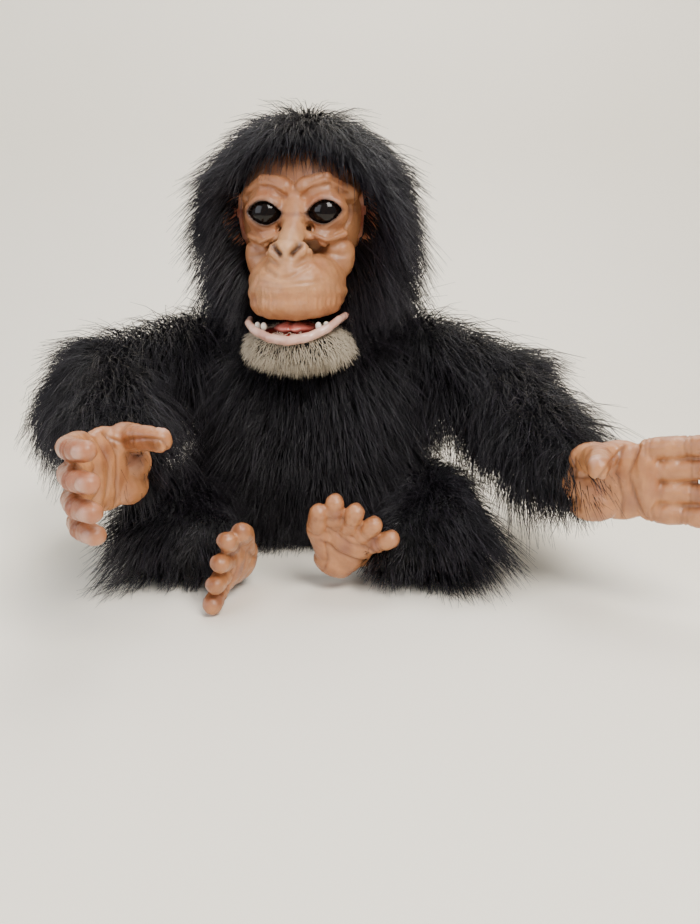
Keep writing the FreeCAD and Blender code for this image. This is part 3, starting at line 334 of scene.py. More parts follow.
def hair(name, dark, light, tip, rough=0.42):
    """A hair fibre: each strand has its own shade, and lighter tips that are partly painted sheen; a few
    strands are painted glints.
    """
    material, tree, place = started(name)
    shade = add(tree, "ShaderNodeAttribute", attribute_name="shade").outputs["Fac"]
    along = add(tree, "ShaderNodeAttribute", attribute_name="along").outputs["Fac"]
    tufts = noise(tree, place, 45)
    body = mixed(tree, ranged(tree, tufts, 0, 1), colour(dark), colour(light))
    strand = mixed(tree, ranged(tree, shade, 0, 1, 0.0, 1.0), body, colour(light))
    # Lighter towards the tip: partly the fibre's own tips, partly painted sheen. The palest strands take the
    # tip colour all along as painted glints.
    with_tips_and_sheen = mixed(tree, ranged(tree, along, 0.0, 0.3, 0.4, 1.0), strand, colour(tip))
    with_painted_glints = mixed(tree, ranged(tree, shade, 0, 1, 0.93, 0.99), with_tips_and_sheen, colour(tip))
    surface = add(tree, "ShaderNodeBsdfPrincipled", {
        "Base Color": with_painted_glints, "Roughness": rough, "Specular IOR Level": 0.45})
    ended(tree, surface)
    return material


black_hair = hair("long black acrylic pile", "040406", "0e0b0f", "3a343d", rough=0.36)
beard_hair = hair("short beige pile", "bcae99", "dccfba", "f2e9d8", rough=0.6)


def vinyl(name, rough=(0.36, 0.5), soft=0.12, bump=0.35, coat=0.05):
    """Soft painted vinyl: the paint, with painted shade in creases, hollows and nostrils, is in the mesh's
    tint, with pores and a faint mottle over it.
    """
    material, tree, place = started(name)
    tint = add(tree, "ShaderNodeAttribute", attribute_name="tint").outputs["Color"]
    mottle = mixed(tree, ranged(tree, noise(tree, place, 110), 0, 0.35), tint, colour("8a5a38"), "MULTIPLY")
    pores = noise(tree, place, 1500, 6)
    creases = noise(tree, place, 420, 8)
    height = add(tree, "ShaderNodeMath", {0: pores, 1: creases}, operation="ADD").outputs[0]
    relief = add(tree, "ShaderNodeBump", {"Strength": bump, "Distance": 0.0006, "Height": height})
    surface = add(tree, "ShaderNodeBsdfPrincipled", {
        "Base Color": mottle, "Roughness": ranged(tree, creases, *rough), "Subsurface Weight": soft,
        "Subsurface Radius": (0.004, 0.0016, 0.0008), "Subsurface Scale": 0.6, "Coat Weight": coat,
        "Coat Roughness": 0.25, "Normal": relief.outputs[0]})
    ended(tree, surface)
    return material


skin_vinyl = vinyl("painted skin vinyl")
lip_vinyl = vinyl("glossy lip vinyl", rough=(0.14, 0.24), bump=0.12, coat=0.5)
hand_vinyl = vinyl("painted hand vinyl", rough=(0.28, 0.42), bump=0.4, coat=0.12)


def eye_glass():
    """A glossy, nearly black eye with a faint brown cloud in it."""
    material, tree, place = started("glossy brown eye")
    cloud = noise(tree, place, 500)
    base = mixed(tree, ranged(tree, cloud, 0, 1), colour("050303"), colour("140a07"))
    ended(tree, add(tree, "ShaderNodeBsdfPrincipled", {
        "Base Color": base, "Roughness": 0.1, "Specular IOR Level": 0.2, "Coat Weight": 0.1,
        "Coat Roughness": 0.02}))
    return material


CAD_FINISHES["eye_gloss"] = eye_glass()
for entry in frame["record"]["subparts"]:
    node = frame["nodes"][entry["node"]]
    chosen = "eyelid_vinyl" if entry["node"] == "eyelids" else entry["material_slot"]
    node.data.materials.clear()
    node.data.materials.append(CAD_FINISHES.get(chosen, undercoat))

# ---- Long fur
# Strands are curves placed at random on a skin. Each is combed, droops, joins its neighbours in a tuft,
# and tapers. No strand may pass the lowest and highest corners of the room that the fur is allowed.
ALLOWANCE = [0.028 * (b - a) + 0.0085 for a, b in zip(*size_after_load)]
FUR_LOWEST = [a - room for a, room in zip(size_after_load[0], ALLOWANCE)]
FUR_HIGHEST = [b + room for b, room in zip(size_after_load[1], ALLOWANCE)]
FUR_LOWEST[2] = 0.0008


def fur_tree():
    tree = bpy.data.node_groups.new("long fur", "GeometryNodeTree")
    tree.interface.new_socket("Geometry", in_out="OUTPUT", socket_type="NodeSocketGeometry")
    for name, kind in (("Geometry", "Geometry"), ("Hairs per area", "Float"), ("Seed", "Int"),
                       ("Lift", "Float"), ("Droop", "Float"), ("Stray", "Float"), ("Tuft", "Float"),
                       ("Tuft size", "Float"), ("Wave", "Float"), ("Radius", "Float"),
                       ("Lowest", "Vector"), ("Highest", "Vector"), ("Hair material", "Material")):
        tree.interface.new_socket(name, in_out="INPUT", socket_type=f"NodeSocket{kind}")
    given = add(tree, "NodeGroupInput").outputs

    def number(operation, a, b=0.0, c=0.0):
        return add(tree, "ShaderNodeMath", {0: a, 1: b, 2: c}, operation=operation).outputs[0]

    def vector(operation, a, b=(0, 0, 0)):
        return add(tree, "ShaderNodeVectorMath", {0: a, 1: b}, operation=operation).outputs[0]

    def scaled(v, factor):
        return add(tree, "ShaderNodeVectorMath", {0: v, "Scale": factor}, operation="SCALE").outputs[0]

    def random(low, high, shift, kind="FLOAT"):
        seed = number("ADD", given["Seed"], shift)
        first = {"FLOAT": 2, "FLOAT_VECTOR": 0}[kind]
        node = add(tree, "FunctionNodeRandomValue", {first: low, first + 1: high, "Seed": seed},
                   data_type=kind)
        return node.outputs[1 if kind == "FLOAT" else 0]

    def named(name, kind):
        return add(tree, "GeometryNodeInputNamedAttribute", {"Name": name}, data_type=kind).outputs[0]

    def stored(geometry, name, value, kind):
        values = {"Geometry": geometry, "Name": name, "Value": value}
        return add(tree, "GeometryNodeStoreNamedAttribute", values, data_type=kind, domain="POINT").outputs[0]

    density = number("MULTIPLY", given["Hairs per area"], named("grow", "FLOAT"))
    spread = add(tree, "GeometryNodeDistributePointsOnFaces",
                 {"Mesh": given["Geometry"], "Density": density, "Seed": given["Seed"]})
    root = add(tree, "GeometryNodeInputPosition").outputs[0]
    comb = named("comb", "FLOAT_VECTOR")
    length = number("MULTIPLY", named("long", "FLOAT"), random(0.62, 1.15, 1))
    stray = scaled(random((-1, -1, -1), (1, 1, 1), 2, "FLOAT_VECTOR"), given["Stray"])
    lifted = vector("ADD", scaled(spread.outputs["Normal"], given["Lift"]), vector("ADD", comb, stray))
    down = add(tree, "ShaderNodeCombineXYZ", {2: number("MULTIPLY", given["Droop"], -1.0)}).outputs[0]
    drooped = vector("ADD", vector("ADD", comb, down), stray)
    points = stored(spread.outputs["Points"], "root", root, "FLOAT_VECTOR")
    points = stored(points, "first", scaled(vector("NORMALIZE", lifted), length), "FLOAT_VECTOR")
    points = stored(points, "second", scaled(vector("NORMALIZE", drooped), length), "FLOAT_VECTOR")
    points = stored(points, "shade", random(0.0, 1.0, 3), "FLOAT")

    line = add(tree, "GeometryNodeCurvePrimitiveLine", {"End": (0, 0, 0.01)}).outputs[0]
    line = add(tree, "GeometryNodeResampleCurve", {"Curve": line, "Count": 4}).outputs[0]
    strands = add(tree, "GeometryNodeInstanceOnPoints", {"Points": points, "Instance": line}).outputs[0]
    strands = add(tree, "GeometryNodeRealizeInstances", {"Geometry": strands}).outputs[0]

    t = add(tree, "GeometryNodeSplineParameter").outputs["Factor"]
    half_square = number("MULTIPLY", number("MULTIPLY", t, t), 0.5)
    start = named("root", "FLOAT_VECTOR")
    place = vector("ADD", scaled(named("first", "FLOAT_VECTOR"), number("SUBTRACT", t, half_square)),
                   scaled(named("second", "FLOAT_VECTOR"), half_square))
    cell_scale = number("DIVIDE", 1.0, given["Tuft size"])
    cells = add(tree, "ShaderNodeTexVoronoi", {"Vector": start, "Scale": cell_scale})
    together = scaled(vector("SUBTRACT", cells.outputs["Position"], start),
                      number("MULTIPLY", half_square, number("MULTIPLY", given["Tuft"], 2.0)))
    swirl = add(tree, "ShaderNodeTexNoise", {"Vector": start, "Scale": 38.0, "Detail": 2.0}).outputs["Color"]
    swirl = scaled(vector("SUBTRACT", swirl, (0.5, 0.5, 0.5)), number("MULTIPLY", given["Wave"], t))
    place = vector("ADD", vector("ADD", vector("ADD", start, place), together), swirl)
    place = vector("MAXIMUM", vector("MINIMUM", place, given["Highest"]), given["Lowest"])
    strands = add(tree, "GeometryNodeSetPosition", {"Geometry": strands, "Position": place}).outputs[0]
    thin = number("MULTIPLY", given["Radius"], number("MULTIPLY_ADD", t, -0.82, 1.0))
    strands = stored(strands, "along", t, "FLOAT")
    ring = add(tree, "GeometryNodeCurvePrimitiveCircle", {"Resolution": 3, "Radius": 1.0}).outputs[0]
    strands = add(tree, "GeometryNodeCurveToMesh",
                  {"Curve": strands, "Profile Curve": ring, "Scale": thin}).outputs[0]
    strands = add(tree, "GeometryNodeRealizeInstances", {"Geometry": strands}).outputs[0]
    strands = add(tree, "GeometryNodeSetMaterial",
                  {"Geometry": strands, "Material": given["Hair material"]}).outputs[0]
    joined = add(tree, "GeometryNodeJoinGeometry")
    tree.links.new(given["Geometry"], joined.inputs[0])
    tree.links.new(strands, joined.inputs[0])
    add(tree, "NodeGroupOutput", {0: joined.outputs[0]})
    return tree


FUR = fur_tree()
FUR_SOCKETS = {item.name: item.identifier for item in FUR.interface.items_tree if item.in_out == "INPUT"}
THIN_OUT = 1.0


def furred(name, skin, test, comb, long, count, seed, grow=None, matrix=Matrix.Identity(4),
           material=black_hair, lift=0.8, droop=0.6, stray=0.35, tuft=0.55, tuft_size=0.011, wave=0.02,
           radius=0.00036):
    """A patch of a skin with its fur: comb and long give each point's direction and hair length in mm."""
    part = kept(skin, test)
    p, n = part.points, part.normals
    thick = np.ones(len(p)) if grow is None else grow(p)
    combs = comb(p, n)
    combs -= n * np.minimum(np.sum(combs * n, axis=1), 0)[:, None]
    obj = written(name, part, matrix, undercoat, comb=combs, long=long(p) * MM * np.ones(len(p)), grow=thick)
    corners = part.points[part.faces] * MM
    across = np.cross(corners[:, 2] - corners[:, 0], corners[:, 3] - corners[:, 1])
    area = np.linalg.norm(across, axis=1) / 2
    covered = float(np.sum(area * thick[part.faces].mean(axis=1)))
    fur = obj.modifiers.new("fur", "NODES")
    fur.node_group = FUR
    for key, value in {"Hairs per area": count * THIN_OUT / covered, "Seed": seed, "Lift": lift,
                       "Droop": droop, "Stray": stray, "Tuft": tuft, "Tuft size": tuft_size, "Wave": wave,
                       "Radius": radius, "Lowest": FUR_LOWEST, "Highest": FUR_HIGHEST,
                       "Hair material": material}.items():
        fur[FUR_SOCKETS[key]] = value
    bake(obj)
    obj.data.polygons.foreach_set("use_smooth", [True] * len(obj.data.polygons))
    return obj


# ---- Head fur
# A hood of hair round the face. It falls away from the crown, stands out at the sides and hangs over
# the brow.
hood = melt("hood", ball((0, 6, 62), (58, 54, 60)) + ball((0, 14, 26), (52, 40, 37)), voxel=3, rounds=4)
HAIRLINE = -28


def hood_comb(p, n):
    crown = p - np.array([0, 14, 128])
    fall = crown / (np.linalg.norm(crown, axis=1, keepdims=True) + 1e-6)
    side = np.sign(p[:, 0]) * soft_step(np.abs(p[:, 0]), 5, 30) * soft_step(-p[:, 1], -10, 25)
    ahead = soft_step(-p[:, 1], 8, 26)
    spread = side[:, None] * np.array([0.25, 0, 0]) + ahead[:, None] * np.array([0, -0.5, 0])
    return fall * 0.8 + spread + np.array([0, -0.1, -0.2])


def hood_long(p):
    return 42 + 9 * waves(p, 24, 5) - 8 * soft_step(p[:, 2], 95, 122) + 14 * soft_step(-p[:, 2], -75, -25)


def hood_piece(name, test, count, seed, **settings):
    made = furred(name, hood, lambda c: (c[:, 1] > HAIRLINE) & test(c), hood_comb, hood_long, count, seed,
                  matrix=HEAD, **settings)
    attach(made, "head")
    return made


TOP, BACK = 90, 30
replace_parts(hood_piece("hair_crown", lambda c: c[:, 2] > TOP, 6800, 11, stray=0.5, lift=0.9), "head_fur")
hood_piece("hair_right_side", lambda c: (c[:, 2] <= TOP) & (c[:, 1] < BACK) & (c[:, 0] < 0), 6600, 12)
hood_piece("hair_left_side", lambda c: (c[:, 2] <= TOP) & (c[:, 1] < BACK) & (c[:, 0] >= 0), 6600, 13)
hood_piece("hair_back", lambda c: (c[:, 2] <= TOP) & (c[:, 1] >= BACK), 5200, 14)
fringe = furred("hair_fringe", hood, lambda c: (c[:, 1] < -10) & (c[:, 1] > HAIRLINE) & (c[:, 2] > 78),
                lambda p, n: p * np.array([0.02, 0, 0]) + np.array([0, -0.9, -0.55]),
                lambda p: 40 + 10 * waves(p, 12, 9), 2400, 15, matrix=HEAD, lift=0.35, droop=0.9, stray=0.5)
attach(fringe, "head")

# ---- Torso fur
# One coat round the plastic shells. Its hair hangs, and flares a little over the seat.
torso = melt("torso", ball((0, 1, 79), (60, 46, 73)), voxel=3, rounds=1)


def squared(skin, centre, radii, power):
    """The same skin with its points carried out to a squarer ball."""
    d = (skin.points - centre) / radii
    reach = np.sum(np.abs(d) ** power, axis=1) ** (1 / power)
    return renormalled(Skin(centre + (skin.points - centre) / reach[:, None], skin.faces, skin.normals))


torso = squared(torso, np.array([0, 1, 79.0]), np.array([62, 48, 76.5]), 4.5)


def coat_comb(p, n):
    return np.stack([p[:, 0] * 0.012, p[:, 1] * 0.006, np.full(len(p), -0.9)], axis=1)


def coat_long(p):
    at_the_side, at_the_hem = soft_step(np.abs(p[:, 0]), 25, 58), soft_step(-p[:, 2], -30, -5)
    return 35 + 7 * waves(p, 30, 21) + 16 * at_the_side - 10 * at_the_hem


def coat_piece(name, test, count, seed):
    made = furred(name, torso, test, coat_comb, coat_long, count, seed, lift=0.75, droop=0.4,
                  grow=lambda p: soft_step(p[:, 2], 1, 5))
    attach(made, "torso")
    return made


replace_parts(coat_piece("coat_front", lambda c: c[:, 1] < -22, 6000, 22), "torso_fur", "closure_strip")
coat_piece("coat_back", lambda c: c[:, 1] > 26, 5200, 23)
coat_piece("coat_right", lambda c: (c[:, 1] >= -22) & (c[:, 1] <= 26) & (c[:, 0] < 0), 3300, 24)
coat_piece("coat_left", lambda c: (c[:, 1] >= -22) & (c[:, 1] <= 26) & (c[:, 0] >= 0), 3300, 25)

# ---- Arm fur
# Each arm is one sleeve from the shoulder to the cuff, bent in shape at the elbow and cut there in two. Its
# hair hangs in long tufts.
for name, side in SIDES.items():
    shoulder, elbow = joint_at(f"{name}_arm_lift"), joint_at(f"{name}_elbow_bend")
    wrist = joint_at(f"{name}_hand_turn")
    upper, fore = unit(elbow - shoulder), unit(wrist - elbow)
    cuff = wrist - fore * 3
    inner = shoulder - np.array([side * 14, 0, 2])
    sleeve = melt("sleeve", chain([inner, shoulder + upper * 8, elbow, cuff], [22, 26, 24, 19]), voxel=3,
                  rounds=5)
    corner = unit(fore - upper)
    split = elbow @ corner

    def sleeve_comb(p, n, upper=upper, fore=fore, elbow=elbow, corner=corner):
        share = soft_step((p - elbow) @ corner, -14, 14)[:, None]
        along = upper * (1 - share) + fore * share
        return along * 0.55 + np.array([0, 0, -0.45])

    def sleeve_long(p, cuff=cuff, fore=fore):
        return (48 + 11 * waves(p, 28, 31)) * (0.5 + 0.5 * soft_step((cuff - p) @ fore, 4, 45))

    for half, test, seed in (("upper", lambda c: c @ corner < split, 33),
                             ("fore", lambda c: c @ corner >= split, 35)):
        piece = furred(f"{name}_{half}_sleeve", sleeve, test, sleeve_comb, sleeve_long, 6200, seed + side,
                       lift=0.95, droop=0.5, wave=0.034, tuft=0.75, tuft_size=0.014, stray=0.42)
        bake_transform(piece)
        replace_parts(piece, f"{name}_{'upper_arm' if half == 'upper' else 'forearm'}_fur")

# ---- Leg fur
# Short bent legs under the arms. Their hair spreads over the floor.
KNEE = {"right": (-94, -94, 31), "left": (92, -98, 31)}
for name, side in SIDES.items():
    ankle = joint_at(f"{name}_foot_turn")
    knee, top = np.array(KNEE[name], float), np.array([side * 84, -26, 32.0])
    shin = unit(ankle - knee)
    leg = melt("leg", chain([top, knee, ankle - shin * 2], [25, 24, 19]), voxel=3, rounds=5)
    leg.points[:, 2] = np.maximum(leg.points[:, 2], 1.2)
    leg = renormalled(leg)

    def leg_comb(p, n, top=top, knee=knee, ankle=ankle, side=side):
        out = (p - (top + knee) / 2) * np.array([1, 1, 0]) * 0.012
        return out + np.array([side * 0.2, -0.25, -0.45])

    def leg_long(p, ankle=ankle):
        from_ankle = np.linalg.norm(p - ankle, axis=1)
        return (36 + 8 * waves(p, 30, 41)) * (0.35 + 0.65 * soft_step(from_ankle, 18, 55))

    piece = furred(f"{name}_leg_coat", leg, lambda c: c[:, 2] > 0, leg_comb, leg_long, 6300, 43 + side,
                   lift=0.8, droop=0.45, wave=0.024, grow=lambda p: soft_step(p[:, 2], 1.4, 6))
    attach(piece, f"{name}_leg")
    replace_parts(piece, f"{name}_leg_fur")

# ---- Face
# A soft mask over the skull: brow ridge, hollow eyes with heavy folds, a broad flat nose and a big muzzle.
def painted(base, *coats):
    """Colours per point: a base colour, then (amount per point, colour) coats over it."""
    tint = np.tile(colour(base), (len(coats[0][0]), 1))
    for amount, code in coats:
        tint += (np.array(colour(code)) - tint) * np.clip(amount, 0, 1)[:, None]
    return tint


def both(pieces_of):
    """The pieces that a function makes for the right side and then the left side."""
    return [piece for side in (-1, 1) for piece in pieces_of(side)]


EYE_X, EYE_Z = 20, 60
NOSTRILS = {s: [(s * 8.5 - 1.5, 39), (s * 4.2 - 1.5, 33.5)] for s in (-1, 1)}
face = melt("face", ball((0, -2, 60), (46, 49, 54)) + ball((0, -50, 12), (34, 44, 25))
            + ball((0, -58, 2), (31, 36, 15))
            + chain([(0, -46, 66), (0, -58, 50), (-1, -74, 36)], [9, 9, 8]) + ball((-1, -76, 34), (12, 9, 9))
            + both(lambda s: ball((s * 9 - 1, -74, 35), (7, 8, 7)))
            + both(lambda s: chain([(s * 6, -50, 76), (s * 20, -47, 79), (s * 35, -34, 72)], [6, 6.5, 6]))
            + both(lambda s: ball((s * EYE_X, -46, EYE_Z), (15.2, 14.8, 14.4)))
            + both(lambda s: ball((s * 25, -38, 32), (13, 13, 18)))
            + both(lambda s: chain([(s * 8, -58, 46), (s * 20, -56, 42), (s * 31, -46, 46)], [4, 4.5, 4])),
            voxel=1.3, rounds=7)
face = kept(face, lambda c: c[:, 1] < -10)


def upper_lip(x):
    """The height of the upper lip's edge across the mouth."""
    return -7.5 + 0.0045 * x * x


def eye_gap(x, z, side):
    """How far inside the eyelids' almond opening a place is, from 1 at its middle to 0 at its edge."""
    u = (x - side * EYE_X) / 11.5
    v = (z - EYE_Z - 0.9 * u * side) / (7.3 * np.sqrt(np.clip(1 - 0.75 * u ** 2, 0.02, 1)))
    return 1 - np.sqrt(u ** 2 + v ** 2)


def face_shape(skin):
    """Cuts the mouth's edge, opens the eyes, and presses in the nostrils, folds and wrinkles."""
    p = skin.points
    lip = upper_lip(p[:, 0])
    below = (p[:, 1] < -38) & (p[:, 2] < lip)
    p[below, 2] = lip[below] + (p[below, 2] - lip[below]) * 0.12
    skin = renormalled(skin)
    p = skin.points
    x, z = p[:, 0], p[:, 2]
    flat, front = p[:, [0, 2]], p[:, 1] < -34
    depth = np.zeros(len(p))

    def groove(line, wide, deep):
        return deep * np.exp(-(away(flat, line) / wide) ** 2) * front

    for s in (-1, 1):
        gap = eye_gap(x, z, s)
        depth += 0.9 * np.exp(-((gap + 0.24) / 0.1) ** 2) * front
        # Arched folds above the eye, and bags below it.
        depth += groove([(s * 6, 70), (s * 13, 75), (s * 24, 77), (s * 34, 71)], 1.5, 1.9)
        depth += groove([(s * 9, 78), (s * 20, 83), (s * 33, 78)], 1.6, 1.2)
        depth += groove([(s * 8, 54), (s * 13, 48), (s * 22, 44.5), (s * 32, 49)], 1.3, 1.9)
        depth += groove([(s * 9, 49), (s * 15, 42), (s * 25, 38), (s * 36, 43)], 1.4, 1.6)
        depth += groove([(s * 12, 41), (s * 20, 34), (s * 32, 32)], 1.5, 1.2)
        depth += groove([(s * 15, 31), (s * 24, 24), (s * 34, 12)], 2.2, 1.3)
        # Nostrils: slanted slits that nearly meet under the tip.
        depth += groove(NOSTRILS[s], 1.9, 5.5)
        depth += groove([(s * 15 - 1, 40), (s * 13 - 1, 31), (s * 6 - 1, 27)], 1.5, 1.6)
        depth += groove([(s * 20, 20), (s * 24, 8), (s * 22, -3)], 1.0, 0.5)
    depth += groove([(-17, 25.5), (-5, 19.5), (2, 20), (13, 26)], 1.7, 1.9)
    # Curved lines across the lip and the forehead: height, bend and depth.
    for height, bend, deep in ((15.5, 0.004, 0.8), (12, 0.006, 0.45), (96, -0.006, 0.7), (91, -0.007, 0.6),
                               (101, -0.005, 0.5)):
        line = np.exp(-((z - height - bend * x * x) / 0.8) ** 2)
        depth += deep * line * front * soft_step(-np.abs(x), -30, -18)
    # Fine upright wrinkles over the lip.
    band = soft_step(z, -6, 0) * soft_step(-z, -15, -9) * front
    depth += 0.35 * band * (np.sin(x * 2.4 + 0.8 * np.sin(z * 0.7)) + 0.5 * np.sin(x * 1.3 + 1))
    depth += 0.22 * waves(p, 7, 51) + 0.4 * waves(p, 19, 52)
    skin = dent(skin, depth)
    for s in (-1, 1):
        open_eye = soft_step(eye_gap(skin.points[:, 0], skin.points[:, 2], s), -0.02, 0.1) * front
        skin.points[:, 1] += open_eye * np.maximum(0, -41 - skin.points[:, 1])
    return renormalled(skin)


def over_skull(skin, gap=1.4):
    """The same skin with no point nearer to the plastic skull than this gap."""
    skull = BVHTree.FromObject(frame["nodes"]["skull_front"], bpy.context.evaluated_depsgraph_get())
    middle, far = Vector((0, 0, 52)), 150
    points = skin.points.copy()
    for n, point in enumerate(points):
        way = (Vector(point) - middle).normalized()
        start = HEAD @ (middle + way * far) * MM
        hit = skull.ray_cast(start, (HEAD.to_3x3() @ -way), far * MM)
        reach = far - hit[3] / MM + gap if hit[0] else 0
        if 30 < (Vector(point) - middle).length < reach:
            points[n] = middle + way * reach
    return renormalled(Skin(points, skin.faces, skin.normals))


face = over_skull(face_shape(face))
fx, fy, fz = face.points.T
rim = sum(np.exp(-((eye_gap(fx, fz, s) + 0.02) / 0.16) ** 2) for s in (-1, 1))
socket = sum(np.exp(-((eye_gap(fx, fz, s) + 0.5) / 0.7) ** 2) for s in (-1, 1))
nostril_shade = sum(np.exp(-(away(face.points[:, [0, 2]], NOSTRILS[s]) / 1.9) ** 2) for s in (-1, 1))
nose_tone = np.exp(-((fx + 1) / 13) ** 2 - ((fz - 38) / 12) ** 2)
muzzle_tone = np.exp(-(fx / 30) ** 2 - ((fz - 9) / 13) ** 2) * soft_step(-fy, 60, 85)
band = soft_step(fz, -8, -2) * soft_step(-fz, -14, -6) * soft_step(-fy, 55, 80)
# In the tint, the nostril slits are darkened with painted shade.
tint = painted("ad7850", (soft_step(fz, 66, 90) * 0.7, "925f40"), (socket * 0.45, "83543c"),
               (nose_tone * 0.85, "cc9d70"), (muzzle_tone * 0.75, "cf9c6a"), (band * 0.35, "b06a3c"),
               (rim * 0.9, "2b2220"), (nostril_shade * 0.95, "3a1c12"),
               (soft_step(-fz, 7.5, 10) * (fy < -40) * 0.9, "5a1712"),
               (0.25 * waves(face.points, 16, 53), "a4603f"))
face_piece = written("face_mask", face, HEAD, skin_vinyl, tint=tint)
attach(face_piece, "head")
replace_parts(face_piece, "face_skin")

# Ears: round flaps that face forwards, hollow in the middle.
for name, side in SIDES.items():
    turn = Matrix.Rotation(math.radians(-22 * side), 4, "Z") @ Matrix.Rotation(math.radians(6 * side), 4, "Y")
    ear = melt("ear", ball((side * 45, -25, 57), (11.5, 5.5, 19), turn), voxel=1.0, rounds=3)
    local = (ear.points - np.array([side * 45, -25, 57])) @ np.array(turn.to_3x3())
    reach = np.hypot(local[:, 0] / 11.5, local[:, 2] / 19)
    ahead = soft_step(-local[:, 1], -0.5, 1.5)
    fold = away(local[:, [0, 2]], [(-side * 2, 8), (side * 3, 2), (side * 1, -8)])
    hollow = 3.4 * soft_step(-reach, -0.82, -0.55) + 1.3 * np.exp(-(fold / 1.6) ** 2)
    ear = dent(ear, ahead * hollow)
    # The hollow middle is darkened in the tint with painted shade.
    tint = painted("b87a58", (soft_step(-reach, -0.8, -0.4), "9a5a44"),
                   (0.3 * waves(ear.points, 9, 55), "c48a66"))
    piece = written(f"{name}_ear", ear, HEAD, skin_vinyl, tint=tint)
    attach(piece, "head")

# ---- Jaw
# A wet lower lip, a dark red mouth with tongue and small teeth, and a chin of short pale pile.
LIP = [(-33, -56, -9), (-31, -70, -10.5), (-24, -82, -14.5), (-13, -90.5, -18), (0, -94, -19.5),
       (13, -90.5, -17.5), (24, -82, -13), (30, -70, -8.5), (33, -56, -7)]
LIP_THICK = [2.2, 2.6, 2.9, 3.1, 3.2, 3.1, 2.9, 2.6, 2.2]


def wet(name, skin, base, light, cloud, seed):
    """A shiny piece of the mouth, clouded between two colours."""
    tint = painted(base, (0.5 + 0.5 * waves(skin.points, cloud, seed), light))
    return written(name, skin, HEAD, lip_vinyl, tint=tint)


lower_lip = melt("lower_lip", chain(LIP, LIP_THICK), voxel=0.7, rounds=3)
lower_lip = dent(lower_lip, 0.14 * waves(lower_lip.points, 4, 61))
pieces = [wet("lower_lip", lower_lip, "d2a391", "e0baa8", 14, 62)]
mouth_floor = melt("mouth_floor", ball((0, -54, -20), (29, 36, 7.5)), voxel=1.2, rounds=3)
pieces.append(wet("mouth_floor", mouth_floor, "6a1d17", "84281f", 12, 63))
tongue = ball((0, -66, -13.5), (14, 20, 4)) + ball((0, -74, -13), (11, 10, 4))
tongue = melt("tongue", tongue, voxel=1.0, rounds=3)
tongue = dent(tongue, 1.0 * np.exp(-(tongue.points[:, 0] / 1.6) ** 2) + 0.15 * waves(tongue.points, 5, 64))
pieces.append(wet("tongue", tongue, "c9675c", "d98376", 9, 65))
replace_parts(pieces[0], "jaw_lip")
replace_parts(pieces[2], "tongue_and_gum")
teeth = melt("teeth", [t for x, y in ((-23, -77.5), (-18, -82), (18, -82), (22.5, -77.5))
                       for t in ball((x, y, -11.5), (2.1, 1.7, 2.8))], voxel=0.5, rounds=2)
pieces.append(wet("teeth", teeth, "e9e3d2", "f2eee2", 5, 66))
for piece in pieces:
    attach(piece, "jaw")
chin = melt("chin", ball((0, -52, -27), (36, 37, 14)) + ball((0, -66, -22), (30, 24, 9)), voxel=2, rounds=4)


def chin_comb(p, n):
    return np.stack([p[:, 0] * 0.01, np.full(len(p), -0.2), np.full(len(p), -0.5)], axis=1)


beard = furred("chin_pile", chin, lambda c: (c[:, 2] < -16) | (c[:, 1] > -60), chin_comb,
               lambda p: 8 + 1.5 * waves(p, 10, 71), 4800, 72, matrix=HEAD, material=beard_hair,
               lift=0.5, droop=0.3, stray=0.3, tuft=0.3, tuft_size=0.005, wave=0.004, radius=0.0003)
beard.data.materials[0] = finish("beige pile backing", "b5a893", "cdc0aa", scale=200, rough=(0.8, 0.95),
                                 bump=0.6, grain=700)
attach(beard, "jaw")
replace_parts(beard, "chin_fur")

# ---- Hands
# Fingers and palm are one soft moulding with creases at each joint, lines on the palm and flat nails.
FINGERS = {"right": (-0.35, -0.93, 0.04), "left": (0.87, -0.47, 0.14)}
PALM_FACES = {"right": (0.93, -0.35, 0.05), "left": (-0.45, -0.88, 0.0)}
CURL = {"right": 24, "left": 5}
LENGTHS = [(22, 17, 13), (25, 19, 14), (24, 18, 13), (19, 14, 12)]
PITCH = 12.8


def nailed(points, nails, rise):
    """How much of a nail covers each point, and the outward push that makes its plate stand up."""
    cover = np.zeros(len(points))
    for centre, outward, ahead, wide, long in nails:
        across = np.cross(outward, ahead)
        d = points - centre
        reach = np.sqrt((d @ across / wide) ** 2 + (d @ ahead / long) ** 2)
        cover = np.maximum(cover, soft_step(-reach, -1.08, -0.88) * soft_step(d @ outward, -2.5, 0.5))
    return cover, -rise * cover


def ring_creases(points, rings, wide, deep):
    """Grooves round a finger: each ring is (centre, direction, reach)."""
    depth = np.zeros(len(points))
    for centre, ahead, reach in rings:
        d = points - centre
        lengthwise = d @ ahead
        radial = np.linalg.norm(d - lengthwise[:, None] * ahead, axis=1)
        depth += deep * np.exp(-(lengthwise / wide) ** 2) * soft_step(-radial, -reach - 2, -reach)
    return depth


